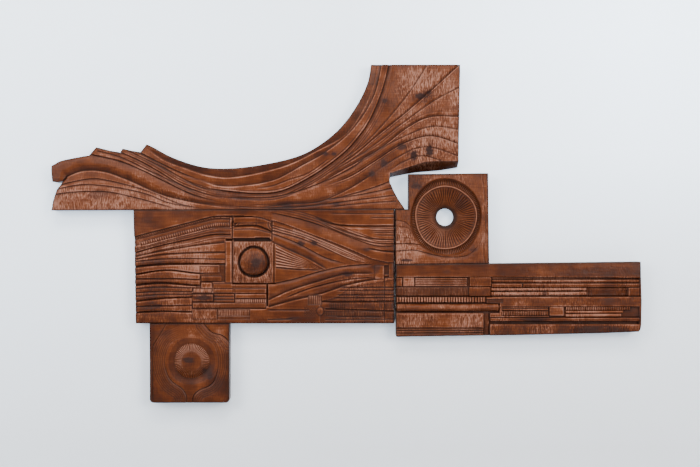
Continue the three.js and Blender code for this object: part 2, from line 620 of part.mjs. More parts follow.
function place(name, body) {
  const { vertProperties, triVerts, numProp } = body.getMesh();
  const corners = new Float32Array((vertProperties.length / numProp) * 3);
  for (let i = 0; i < corners.length / 3; i++)
    for (let k = 0; k < 3; k++) corners[3 * i + k] = vertProperties[numProp * i + k];
  const geometry = new THREE.BufferGeometry();
  geometry.setAttribute("position", new THREE.BufferAttribute(corners, 3));
  geometry.setIndex(new THREE.BufferAttribute(new Uint32Array(triVerts), 1));
  geometry.computeVertexNormals();
  const mesh = new THREE.Mesh(
    geometry,
    new THREE.MeshStandardMaterial({ color: STAIN, roughness: 0.45, metalness: 0 }),
  );
  mesh.name = name;
  group.add(mesh);
}

place("wing_board", wingBoard());
place("centre_board", centreBoard());
place("rosette_board", rosetteBoard());
place("long_plank", longPlank());
place("lower_block", lowerBlock());

export default group;
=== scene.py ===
"""A carved wall panel of five boards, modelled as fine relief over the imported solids."""

import math

import bmesh
import bpy
import numpy as np
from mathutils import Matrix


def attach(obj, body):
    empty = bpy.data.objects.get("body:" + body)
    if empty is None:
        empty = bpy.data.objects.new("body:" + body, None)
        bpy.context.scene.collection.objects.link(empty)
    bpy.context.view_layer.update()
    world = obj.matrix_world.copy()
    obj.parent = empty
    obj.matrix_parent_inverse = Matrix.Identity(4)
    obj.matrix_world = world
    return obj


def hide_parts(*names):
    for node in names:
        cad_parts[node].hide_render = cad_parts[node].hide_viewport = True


bl_info = {
    "name": "Carved panel",
    "version": (1, 0, 0),
    "blender": (4, 5, 0),
    "location": "3D View > Sidebar > Carved panel",
    "description": "Carves the five boards of a wall panel and sets the stage",
    "category": "Object",
}

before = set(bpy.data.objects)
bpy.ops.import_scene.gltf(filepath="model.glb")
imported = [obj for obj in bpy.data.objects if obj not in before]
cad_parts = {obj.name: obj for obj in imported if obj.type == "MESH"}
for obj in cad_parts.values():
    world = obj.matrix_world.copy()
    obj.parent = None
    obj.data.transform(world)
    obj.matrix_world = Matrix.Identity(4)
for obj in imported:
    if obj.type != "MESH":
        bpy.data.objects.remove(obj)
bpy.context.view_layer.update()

MM = 0.001
FACE = 42.0  # height of a plain carved surface above the wall, in millimetres
FULL = 45.0  # the boards at their fullest
LOW = 34.0  # a sunk field
BED = 28.0  # a deep recess
LINE = 1.35  # a dark line fades out at one and a half times this from its middle
BESIDE = 7.0  # how far the painted light and shade beside a groove reach
BACK_INSET = 1.5  # the arris round the back
CORNER = 0.35  # an outline that turns more than this, in radians, has a corner there
FAR = 1e6  # farther than anything on a board
WING_FOOT = ((-887, 70), (176, 73.5))  # the straight lower edge of the wing board
PLANK_TOP = ((149, -93), (884, -84))  # the upper edge of the long plank
NOISE_CELLS = 256
GRAIN_SIZE = 240.0
GAP = (0.1455, 0.018)  # middle and half width, in metres, of the gap between the boards
GAP_HEIGHT = (-0.69875, 0.17075)  # the same up the wall, from the wall's own middle
PLAIN_WOOD = {"stain": 0.12, "tone": -0.1, "hollow": 0.0, "wide_hollow": 0.0, "knot": 0.0, "tool": 0.2}


# Lines


def smooth(points, step=7.0):
    """A smooth line through a few points, as points about one step apart."""
    p = np.asarray(points, float)
    if len(p) == 2:
        count = max(2, int(np.hypot(*(p[1] - p[0])) / step) + 1)
        return p[0] + (p[1] - p[0]) * np.linspace(0, 1, count)[:, None]
    p = np.vstack([2 * p[0] - p[1], p, 2 * p[-1] - p[-2]])
    out = []
    for a, b, c, d in zip(p, p[1:], p[2:], p[3:]):
        t0 = 0.0
        t1 = t0 + math.sqrt(np.hypot(*(b - a)))
        t2 = t1 + math.sqrt(np.hypot(*(c - b)))
        t3 = t2 + math.sqrt(np.hypot(*(d - c)))
        t = np.linspace(t1, t2, max(1, int(np.hypot(*(c - b)) / step)), endpoint=False)[:, None]
        ab = (t1 - t) / (t1 - t0) * a + (t - t0) / (t1 - t0) * b
        bc = (t2 - t) / (t2 - t1) * b + (t - t1) / (t2 - t1) * c
        cd = (t3 - t) / (t3 - t2) * c + (t - t2) / (t3 - t2) * d
        left = (t2 - t) / (t2 - t0) * ab + (t - t0) / (t2 - t0) * bc
        right = (t3 - t) / (t3 - t1) * bc + (t - t1) / (t3 - t1) * cd
        out.append((t2 - t) / (t2 - t1) * left + (t - t1) / (t2 - t1) * right)
    return np.vstack(out + [p[-2]])


def level_at(line, x):
    """The height of a straight seam at x."""
    (x0, z0), (x1, z1) = line
    return z0 + (z1 - z0) * (x - x0) / (x1 - x0)


def noise(x, z, wide, tall, seed):
    """Smooth random values between -1 and 1, in blobs of about the size given."""
    u = (x + 2000.0) / wide
    v = (z + 2000.0) / tall
    cells = np.random.default_rng(seed).uniform(-1, 1, (NOISE_CELLS, NOISE_CELLS))
    i = np.floor(u).astype(int)
    j = np.floor(v).astype(int)
    fu = soft(u - i)
    fv = soft(v - j)
    here = i % NOISE_CELLS
    next_over = (i + 1) % NOISE_CELLS
    level = j % NOISE_CELLS
    next_up = (j + 1) % NOISE_CELLS
    low = cells[here, level] * (1 - fu) + cells[next_over, level] * fu
    high = cells[here, next_up] * (1 - fu) + cells[next_over, next_up] * fu
    return low * (1 - fv) + high * fv


def soft(t):
    """A soft step from 0 to 1."""
    t = np.clip(t, 0, 1)
    return t * t * (3 - 2 * t)


def bell(square):
    """A bell curve over a squared distance, which ends where it is too small to matter."""
    return np.exp(-np.minimum(square, 40))


def lowered(line, drop):
    """The same line, lower by a drop."""
    return [(x, z - drop) for x, z in line]


# The carved face of one board, as relief on a regular grid


class Relief:
    """Heights above the wall in millimetres, with the dark in the cuts, which is staining and painted
    shade, and a tone that carries painted light and shade too.
    """

    def __init__(self, box, step, face=FACE):
        left, right, low, high = box
        across = max(2, round((right - left) / step[0]))
        up = max(2, round((high - low) / step[1]))
        self.step = ((right - left) / across, (high - low) / up)
        self.origin = (left, low)
        self.x, self.z = np.meshgrid(
            np.linspace(left, right, across + 1), np.linspace(low, high, up + 1)
        )
        self.h = np.full(self.x.shape, float(face))
        self.cut = np.zeros(self.x.shape)
        self.stain = np.zeros(self.x.shape)
        self.knot = np.zeros(self.x.shape)
        self.tool = np.zeros(self.x.shape)
        self.tone = 0.3 * self.noise(120, 60, 7) + 0.3 * self.noise(30, 34, 8)
        self.grain = self.z + 5 * self.noise(260, 60, 3) + 1.5 * self.noise(70, 20, 4)

    def noise(self, wide, tall, seed):
        """Smooth random values over the whole grid."""
        return noise(self.x, self.z, wide, tall, seed)

    def window(self, low, high):
        """The slices of the grid between two corners."""
        rows, cols = self.x.shape
        i0 = int(np.clip((low[0] - self.origin[0]) / self.step[0], 0, cols))
        i1 = int(np.clip((high[0] - self.origin[0]) / self.step[0] + 2, 0, cols))
        j0 = int(np.clip((low[1] - self.origin[1]) / self.step[1], 0, rows))
        j1 = int(np.clip((high[1] - self.origin[1]) / self.step[1] + 2, 0, rows))
        return slice(j0, j1), slice(i0, i1)

    def along(self, points, reach):
        """Near a smooth line: a mask, the distance to its left, the way run, and its length."""
        path = smooth(points)
        side = np.full(self.x.shape, FAR)
        run = np.zeros(self.x.shape)
        begun = 0.0
        last = len(path) - 2
        for k in range(last + 1):
            a = path[k]
            b = path[k + 1]
            ab = b - a
            length = math.hypot(*ab)
            w = self.window(np.minimum(a, b) - reach, np.maximum(a, b) + reach)
            px = self.x[w] - a[0]
            pz = self.z[w] - a[1]
            t = (px * ab[0] + pz * ab[1]) / length**2
            tc = np.clip(t, 0, 1)
            d = np.hypot(px - tc * ab[0], pz - tc * ab[1])
            closer = d < np.abs(side[w])
            if k == 0:
                closer &= t >= 0
            if k == last:
                closer &= t <= 1
            sign = np.where(ab[0] * pz - ab[1] * px >= 0, 1.0, -1.0)
            side[w] = np.where(closer, sign * d, side[w])
            run[w] = np.where(closer, begun + tc * length, run[w])
            begun += length
        mask = np.abs(side) < reach
        return mask, side[mask], run[mask], begun

    def inside(self, points):
        """A mask of the grid points inside an outline."""
        p = np.asarray(points, float)
        odd = np.zeros(self.x.shape, bool)
        for (x0, z0), (x1, z1) in zip(p, np.roll(p, -1, 0)):
            if z0 == z1:
                continue
            w = self.window((self.x.min(), min(z0, z1) - 2), (self.x.max(), max(z0, z1) + 2))
            z = self.z[w]
            crosses = (z0 > z) != (z1 > z)
            odd[w] ^= crosses & (self.x[w] < x0 + (z - z0) * (x1 - x0) / (z1 - z0))
        return odd

    def groove(self, points, deep=4.0, up=2.6, down=2.6, ends=(14, 14), curve=1.3, stain=0.85, lap_shade=0.12):
        """A carved line with a slope of its own width to each side, with painted light below it and painted
        shade above it.
        """
        mask, side, run, length = self.along(points, max(up, down, BESIDE) + 0.5)
        full = np.ones(side.shape)
        if ends[0]:
            full = np.minimum(full, 0.1 + run / ends[0])
        if ends[1]:
            full = np.minimum(full, 0.1 + (length - run) / ends[1])
        wander = 1 + 0.16 * noise(self.x[mask], self.z[mask], 26, 26, int(length) % 97)
        share = np.clip(1 - np.abs(side) / (np.where(side > 0, up, down) * wander), 0, 1)
        self.cut[mask] = np.maximum(self.cut[mask], deep * full * share**curve)
        self.darken(mask, stain * full * np.clip(1.5 - np.abs(side) / LINE, 0, 1))
        # Painted light on the strip under the line and painted shade on the strip over it.
        under = np.clip((side + BESIDE) / 5, 0, 1) * (side < 0)
        over = np.clip(1 - side / BESIDE, 0, 1) * (side >= 0)
        self.tone[mask] += lap_shade * np.clip(full, 0, 1) * (under - 0.8 * over)

    def between(self, high, low):
        """The heights of two lines at each grid point, and the ends of the stretch that both cover."""
        top = smooth(high)
        foot = smooth(low)
        upper = np.interp(self.x, top[:, 0], top[:, 1])
        lower = np.interp(self.x, foot[:, 0], foot[:, 1])
        return upper, lower, max(top[0, 0], foot[0, 0]), min(top[-1, 0], foot[-1, 0])

    def band(self, high, low, tone, crown=0.0):
        """Makes the strip between two lines paler or darker, as painted light and shade, and crowns it."""
        upper, lower, left, right = self.between(high, low)
        t = (self.z - lower) / np.maximum(upper - lower, 0.5)
        on = (t > 0) & (t < 1) & (self.x > left) & (self.x < right)
        ends = np.clip(np.minimum(self.x - left, right - self.x) / 30, 0, 1)
        self.tone += on * tone * ends
        self.h += on * crown * ends * (1 - (2 * np.clip(t, 0, 1) - 1) ** 2)

    def darken(self, mask, amount):
        """Adds dark, staining and painted shade, where there is more of it than before."""
        self.stain[mask] = np.maximum(self.stain[mask], amount)

    def reeds(self, points, offsets, deep=2.4, wide=2.4, ends=(20, 20), stain=0.6):
        """Fine lines beside a smooth line, each at its own distance to the left."""
        reach = max(abs(o) for o in offsets) + wide + 1
        mask, side, run, length = self.along(points, reach)
        full = np.clip(0.1 + run / max(ends[0], 0.1), 0, 1)
        full = full * np.clip(0.1 + (length - run) / max(ends[1], 0.1), 0, 1)
        drop = np.zeros(side.shape)
        dark = np.zeros(side.shape)
        for k, offset in enumerate(offsets):
            near = np.abs(side - offset - 0.7 * noise(run, side * 0 + 31 * k, 60, 10, 5 + k))
            drop = np.maximum(drop, deep * full * np.clip(1 - near / wide, 0, 1) ** 1.2)
            dark = np.maximum(dark, stain * full * np.clip(1.5 - near / LINE, 0, 1))
        self.cut[mask] = np.maximum(self.cut[mask], drop)
        self.darken(mask, dark)

    def roll(self, points, wide, drop):
        """A rounded edge: the face falls away by a quarter round towards a line."""
        mask, side, _, _ = self.along(points, wide)
        t = np.clip(1 - np.abs(side) / wide, 0, 1)
        self.h[mask] -= drop * (1 - np.sqrt(np.clip(1 - t * t, 0, 1)))

    def field(self, points, height, stain=0.0):
        """A flat or shaped field inside an outline; `height` is a number or an array."""
        mask = self.inside(points)
        self.h = np.where(mask, height, self.h)
        self.cut = np.where(mask, 0, self.cut)
        self.stain = np.where(mask, stain, self.stain)
        return mask

    def block(self, left, right, low, high, height, tilt=0.0, crown=0.0, soften=1.6, edge=0.75):
        """A raised or sunk rectangle with softened edges, tipped and crowned a little."""
        w = self.window((left - 3, low - 3), (right + 3, high + 3))
        x = self.x[w]
        z = self.z[w]
        d = np.minimum(np.minimum(x - left, right - x), np.minimum(z - low, high - z))
        t = (z - low) / (high - low)
        top = height + tilt * (t - 0.5) + crown * (1 - (2 * t - 1) ** 2)
        top = top - soften * np.clip(1 - d / 2.6, 0, 1) ** 2
        on = d >= 0
        self.h[w] = np.where(on, top, self.h[w])
        self.cut[w] = np.where(on, 0, self.cut[w])
        self.tone[w] += on * 0.4 * math.sin(0.37 * left + 0.91 * low)
        rim = np.clip(1.3 - np.abs(d + 0.5) / LINE, 0, 1) * edge
        self.stain[w] = np.maximum(np.where(on, 0.0, self.stain[w]), rim)

    def fan(self, high, low, count, base, rise, stain=0.8):
        """Rounded reeds that fill the space between two lines and narrow as the lines close."""
        upper, lower, left, right = self.between(high, low)
        gap = np.maximum(upper - lower, 0.01)
        t = (self.z - lower) / gap
        on = (self.x > left) & (self.x < right) & (t > 0) & (t < 1)
        wave = np.abs(np.sin(np.pi * np.clip(t, 0, 1) * count))
        size = np.clip(gap / count / 5.0, 0.15, 1)
        self.h = np.where(on, base + rise * size * wave**0.7, self.h)
        self.cut = np.where(on, 0, self.cut)
        shown = np.clip((gap / count - 1.6) / 2.0, 0, 1)
        # Painted shade between the reeds and a painted highlight on their crests.
        self.stain = np.where(on, stain * np.clip(1 - wave * 1.7, 0, 1) * shown, self.stain)
        self.tone = np.where(on, self.tone + 1.15 * wave * shown, self.tone)

    def bar(self, points, wide, base, rise):
        """A half-round bar along a line, with its ends rounded over."""
        mask, side, run, length = self.along(points, wide / 2 + 0.5)
        t = np.clip(1 - (2 * side / wide) ** 2, 0, 1)
        cap = np.clip(np.minimum(run, length - run) / 3, 0, 1)
        top = base + rise * np.sqrt(t) * np.sqrt(cap)
        self.h[mask] = np.where(t > 0, top, self.h[mask])
        self.cut[mask] = np.where(t > 0, 0, self.cut[mask])
        # Dark round the bar's edges, and painted light on its upper half.
        self.stain[mask] = np.where(t > 0.3, 0, 0.6)
        self.tone[mask] += cap * (t > 0) * (0.7 * (side > -0.1 * wide) - 0.3)

    def beads(self, points, offset, wide, pitch, base, rise, ends=(0, 0)):
        """A row of small beads along a line, at a distance to its left."""
        mask, side, run, length = self.along(points, abs(offset) + wide)
        across = np.clip(1 - np.abs(2 * (side - offset) / wide) ** 3, 0, 1)
        on = (across > 0) & (run > ends[0]) & (run < length - ends[1])
        lump = np.abs(np.sin(np.pi * run / pitch)) ** 0.6
        self.h[mask] = np.where(on, base + rise * across * lump, self.h[mask])
        self.cut[mask] = np.where(on, 0, self.cut[mask])
        self.stain[mask] = np.where(on, 0.9 * (1 - lump * across), self.stain[mask])

    def teeth(self, left, right, low, high, pitch, deep, gap=0.42, seed=1, stain=0.85):
        """Upright cuts side by side, which leave teeth or flutes between them."""
        w = self.window((left, low), (right, high))
        x = self.x[w]
        z = self.z[w]
        on = (x > left) & (x < right) & (z > low) & (z < high)
        sway = 0.12 * noise(x, z * 0, pitch * 3, 50, seed) + 0.05 * noise(x, z, 9, 12, seed + 1)
        phase = np.abs(((x - left) / pitch + sway) % 1.0 - 0.5) * 2
        notch = np.clip((phase - (1 - gap * 2)) / (gap * 2), 0, 1) if gap < 0.5 else phase
        drop = np.where(on, deep * notch**0.9, 0)
        self.cut[w] = np.maximum(self.cut[w], drop)
        self.stain[w] = np.maximum(self.stain[w], np.where(on, stain * notch, 0))
        # Painted highlight: the teeth are paler than the cuts between them.
        self.tone[w] += np.where(on, 0.6 * (1 - notch), 0)

    def ripple(self, mask, pitch, deep, slant, seed):
        """Marks of a gouge pushed side by side: shallow scoops with ridges between."""
        row = self.noise(9, 22, seed) * 0.9 + self.noise(60, 60, seed + 1) * 1.2
        phase = (self.x + slant * self.z) / pitch + row
        u = phase - np.floor(phase)
        force = np.clip(0.7 + 0.55 * self.noise(45, 38, seed + 2), 0, 1.2)
        self.h -= mask * deep * force * (4 * u * (1 - u))
        # Painted highlight on the ridges between the scoops, and a little painted shade in the scoops.
        self.tone += mask * force * (0.55 * np.abs(2 * u - 1) ** 3 - 0.1)
        self.tool += mask * force

    def knots(self, places):
        """Knots: (x, z, half width, half height, darkness). The grain runs round them."""
        for x, z, wide, tall, dark in places:
            dx = self.x - x
            dz = self.z - z
            r = np.hypot(dx / wide, dz / tall)
            ragged = r + 0.32 * self.noise(7, 5, int(abs(x + z)) + 1)
            self.knot = np.maximum(self.knot, dark * (1 - soft((ragged - 0.7) / 0.75)))
            self.tone -= 0.8 * dark * bell((r / 2.1) ** 2)
            push = bell((r / 2.4) ** 2)
            self.grain += push * np.sign(dz) * -0.55 * tall * np.clip(np.abs(dz) / tall, 0, 1)
            crack = bell((dx / (0.6 * wide)) ** 2 + (dz / 1.6) ** 2)
            self.h -= 0.9 * dark * crack - 0.5 * dark * bell(r**2)

    def finish(self, edge):
        """The final heights and the recess and ridge values; `edge` is the distance to the outline."""
        arris = 2.6
        h = self.h - self.cut
        h -= arris * 0.8 * np.clip(1 - edge / arris, 0, 1) ** 2
        self.stain = np.maximum(self.stain, 0.95 * np.clip(1.35 - edge / 3.4, 0, 1))
        self.tone -= 0.5 * np.clip(1 - edge / 12, 0, 1)
        h += 0.25 * self.noise(18, 14, 40) + 0.12 * self.noise(6, 5, 41)
        # From these recess and ridge values the finish paints shade in recesses and highlights on ridges.
        hollow = blurred(h, 2) - h
        wide_hollow = blurred(h, 8) - h
        return h, np.clip(hollow / 1.6, -1, 1), np.clip(wide_hollow / 6, -1, 1)

    def patches(self, places):
        """Paler and darker patches: (x, z, half width, half height, amount); the paler ones are partly
        painted sheen.
        """
        for x, z, wide, tall, amount in places:
            d = np.hypot((self.x - x) / wide, (self.z - z) / tall)
            ragged = d + 0.25 * self.noise(30, 24, int(abs(x)) + 3)
            self.tone += amount * (1 - soft((ragged - 0.5) / 0.9))


def blurred(a, cells):
    """A running mean over a square that reaches so many cells each way."""
    wide = 2 * cells + 1
    for axis in (0, 1):
        pad = [(0, 0), (0, 0)]
        pad[axis] = (cells + 1, cells)
        total = np.cumsum(np.pad(a, pad, mode="edge"), axis=axis)
        first = np.arange(a.shape[axis])
        a = (np.take(total, first + wide, axis=axis) - np.take(total, first, axis=axis)) / wide
    return a


# Boards


def distance_inside(x, z, outline, reach=14.0):
    """Distance to an outline, positive inside, never more than the reach; with the nearest point."""
    p = np.asarray(outline, float)
    best = np.full(x.shape, reach)
    near_x = x.copy()
    near_z = z.copy()
    odd = np.zeros(x.shape, bool)
    for (x0, z0), (x1, z1) in zip(p, np.roll(p, -1, 0)):
        dx = x1 - x0
        dz = z1 - z0
        t = np.clip(((x - x0) * dx + (z - z0) * dz) / (dx * dx + dz * dz), 0, 1)
        qx = x0 + t * dx
        qz = z0 + t * dz
        d = np.hypot(x - qx, z - qz)
        closer = d < best
        best = np.where(closer, d, best)
        near_x = np.where(closer, qx, near_x)
        near_z = np.where(closer, qz, near_z)
        if z0 != z1:
            odd ^= ((z0 > z) != (z1 > z)) & (x < x0 + (z - z0) * dx / dz)
    return np.where(odd, best, -best), near_x, near_z


def circle(x, z, radius, count):
    """Points round a circle."""
    a = np.linspace(0, 2 * math.pi, count, endpoint=False)
    return np.column_stack([x + radius * np.cos(a), z + radius * np.sin(a)])


def make_board(name, relief, outline, material, hole=None):
    """Builds a board: its relief on a grid trimmed to the outline, its walls and its back."""
    loops = [np.asarray(outline, float)] + ([hole] if hole is not None else [])
    edge, _, _ = distance_inside(relief.x, relief.z, loops[0])
    for loop in loops[1:]:
        edge = np.minimum(edge, -distance_inside(relief.x, relief.z, loop)[0])
    height, hollow, wide_hollow = relief.finish(np.maximum(edge, 0))
    rows, cols = relief.x.shape
    bm = bmesh.new()
    bmesh.ops.create_grid(bm, x_segments=cols - 1, y_segments=rows - 1, size=0.5)
    mesh = bpy.data.meshes.new(name)
    bm.to_mesh(mesh)
    bm.free()
    co = np.empty(len(mesh.vertices) * 3, np.float32)
    mesh.vertices.foreach_get("co", co)
    co = co.reshape(-1, 3)
    i = np.rint((co[:, 0] + 0.5) * (cols - 1)).astype(int)
    j = np.rint((co[:, 1] + 0.5) * (rows - 1)).astype(int)
    placed = np.column_stack([relief.x[j, i], -height[j, i], relief.z[j, i]]) * MM
    mesh.vertices.foreach_set("co", placed.astype(np.float32).ravel())
    for label, values in (
        ("stain", relief.stain),
        ("hollow", hollow),
        ("wide_hollow", wide_hollow),
        ("knot", relief.knot),
        ("tone", relief.tone),
        ("tool", relief.tool),
        ("grain", relief.grain * MM),
    ):
        layer = mesh.attributes.new(label, "FLOAT", "POINT")
        layer.data.foreach_set("value", values[j, i].astype(np.float32))
    outside = edge[j, i] < -0.35 * min(relief.step)
    bm = bmesh.new()
    bm.from_mesh(mesh)
    verts = list(bm.verts)
    bmesh.ops.delete(bm, geom=[v for v, gone in zip(verts, outside) if gone], context="VERTS")
    trim_border(bm)
    snap_border(bm, loops)
    for f in bm.faces:
        f.smooth = True
    close_back(bm)
    bm.to_mesh(mesh)
    bm.free()
    obj = bpy.data.objects.new(name + "_relief", mesh)
    bpy.context.scene.collection.objects.link(obj)
    mesh.materials.append(material)
    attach(obj, "root")
    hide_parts(name)
    return obj


def trim_border(bm):
    """Takes off single cells that hang on the trimmed border by a corner."""
    for _ in range(6):
        loose = set()
        for v in bm.verts:
            if not v.link_faces:
                loose.add(v)
        bmesh.ops.delete(bm, geom=list(loose), context="VERTS")
        border = {}
        for e in bm.edges:
            if e.is_boundary:
                for v in e.verts:
                    border[v] = border.get(v, 0) + 1
        bad = {f for v, n in border.items() if n > 2 for f in v.link_faces}
        bad |= {f for f in bm.faces if sum(e.is_boundary for e in f.edges) >= 3}
        if not bad:
            return
        bmesh.ops.delete(bm, geom=list(bad), context="FACES")


def snap_border(bm, loops):
    """Moves the border onto the outline, with a vertex on each corner of it."""
    border = [v for v in bm.verts if v.is_boundary]
    x = np.array([v.co.x for v in border]) / MM
    z = np.array([v.co.z for v in border]) / MM
    best = np.full(x.shape, FAR)
    to_x = x.copy()
    to_z = z.copy()
    for loop in loops:
        d, nx, nz = distance_inside(x, z, loop)
        closer = np.abs(d) < best
        best = np.where(closer, np.abs(d), best)
        to_x = np.where(closer, nx, to_x)
        to_z = np.where(closer, nz, to_z)
    loop = loops[0]
    ahead = np.roll(loop, -1, 0) - loop
    behind = loop - np.roll(loop, 1, 0)
    turn = np.arctan2(ahead[:, 1], ahead[:, 0]) - np.arctan2(behind[:, 1], behind[:, 0])
    turn = np.abs((turn + math.pi) % (2 * math.pi) - math.pi)
    for corner in loop[turn > CORNER]:
        k = int(np.argmin(np.hypot(to_x - corner[0], to_z - corner[1])))
        to_x[k] = corner[0]
        to_z[k] = corner[1]
    for v, px, pz in zip(border, to_x, to_z):
        v.co.x = px * MM
        v.co.z = pz * MM


def plain_wood(bm, verts):
    """Gives new vertices the values of plain sawn wood, with the grain along the board."""
    for label, value in PLAIN_WOOD.items():
        layer = bm.verts.layers.float[label]
        for v in verts:
            v[layer] = value
    grain = bm.verts.layers.float["grain"]
    for v in verts:
        v[grain] = v.co.z


def place_in_order(face):
    """A number for each face, so that the faces stand in the same order on every run."""
    middle = face.calc_center_median()
    return middle.x + 7.31 * middle.z + 53.7 * middle.y + 0.19 * face.calc_perimeter()


def close_back(bm):
    """Draws the sides back to the wall in three rings and closes the back."""
    edges = [e for e in bm.edges if e.is_boundary]
    for e in edges:
        e.smooth = False
    inward = {}
    for e in edges:
        face = e.link_faces[0]
        loop = next(l for l in face.loops if l.edge == e)
        a = loop.vert.co
        b = loop.link_loop_next.vert.co
        for v in e.verts:
            n = inward.setdefault(v, [0.0, 0.0])
            n[0] -= b.z - a.z
            n[1] += b.x - a.x
    shift = {}
    for v, (nx, nz) in inward.items():
        size = math.hypot(nx, nz) or 1.0
        shift[v] = (nx / size, nz / size)
    ring = edges
    for place in ("half way", "near the wall", "on the wall"):
        before = {v for e in ring for v in e.verts}
        made = bmesh.ops.extrude_edge_only(bm, edges=ring)["geom"]
        new_verts = [g for g in made if isinstance(g, bmesh.types.BMVert)]
        new_edges = [g for g in made if isinstance(g, bmesh.types.BMEdge)]
        moved = {}
        for v in new_verts:
            old = next(e.other_vert(v) for e in v.link_edges if e.other_vert(v) in before)
            nx, nz = shift[old]
            if place == "half way":
                v.co.y = old.co.y * 0.55
            elif place == "near the wall":
                v.co.y = -2.0 * MM
            else:
                v.co.y = 0.0
                v.co.x += nx * BACK_INSET * MM
                v.co.z += nz * BACK_INSET * MM
            moved[v] = shift[old]
        plain_wood(bm, new_verts)
        shift = moved
        ring = [e for e in new_edges if e.is_boundary]
        for e in ring:
            e.smooth = place != "on the wall"
    filled = bmesh.ops.triangle_fill(bm, use_beauty=True, use_dissolve=False, edges=ring, normal=(0, 1, 0))
    back = [g for g in filled["geom"] if isinstance(g, bmesh.types.BMFace)]
    for f in back:
        f.normal_update()
        if f.normal.y < 0:
            f.normal_flip()
        f.smooth = False
    bm.faces.sort(key=place_in_order)


# Carving


FINGER = [(-838, 173), (-853, 158), (-870, 154), (-883, 156), (-886, 176), (-887, 204)]
FINGER_TOP = [(-887, 204), (-859, 219), (-829, 226), (-773, 236)]
TIPS = [(-769, 239), (-751, 260), (-711, 250), (-679, 244), (-672, 256), (-647, 250), (-618, 245),
        (-600, 269)]
HOLLOW = [(-589, 264), (-529, 232), (-439, 202), (-364, 196), (-244, 209), (-124, 242), (-28, 308),
          (32, 386), (65, 457), (74, 508)]
RIM = [(-595, 254), (-544, 221), (-480, 197), (-418, 177), (-353, 170), (-259, 185), (-171, 210),
       (-91, 249), (-4, 298), (50, 373), (80, 446), (94, 514)]
UNDER_EDGE = [(337, 201), (281, 192), (206, 185), (131, 171)]
UNDER_FACE = [(342, 218), (281, 219), (236, 216), (191, 202), (137, 184)]
NOTCH = [(131, 171), (133, 152), (150, 114), WING_FOOT[1]]
LOBE = [WING_FOOT[0], (-884, 92), (-878, 114), (-870, 133), (-859, 148), (-840, 170)]


def wing_outline():
    """The upper board's outline, run round with the finger first."""
    parts = [FINGER, smooth(FINGER_TOP)[1:], TIPS, smooth(HOLLOW), [(342, 508)], smooth(UNDER_EDGE),
             smooth(NOTCH)[1:], smooth(LOBE)[:-1]]
    return np.vstack([np.asarray(p, float) for p in parts])


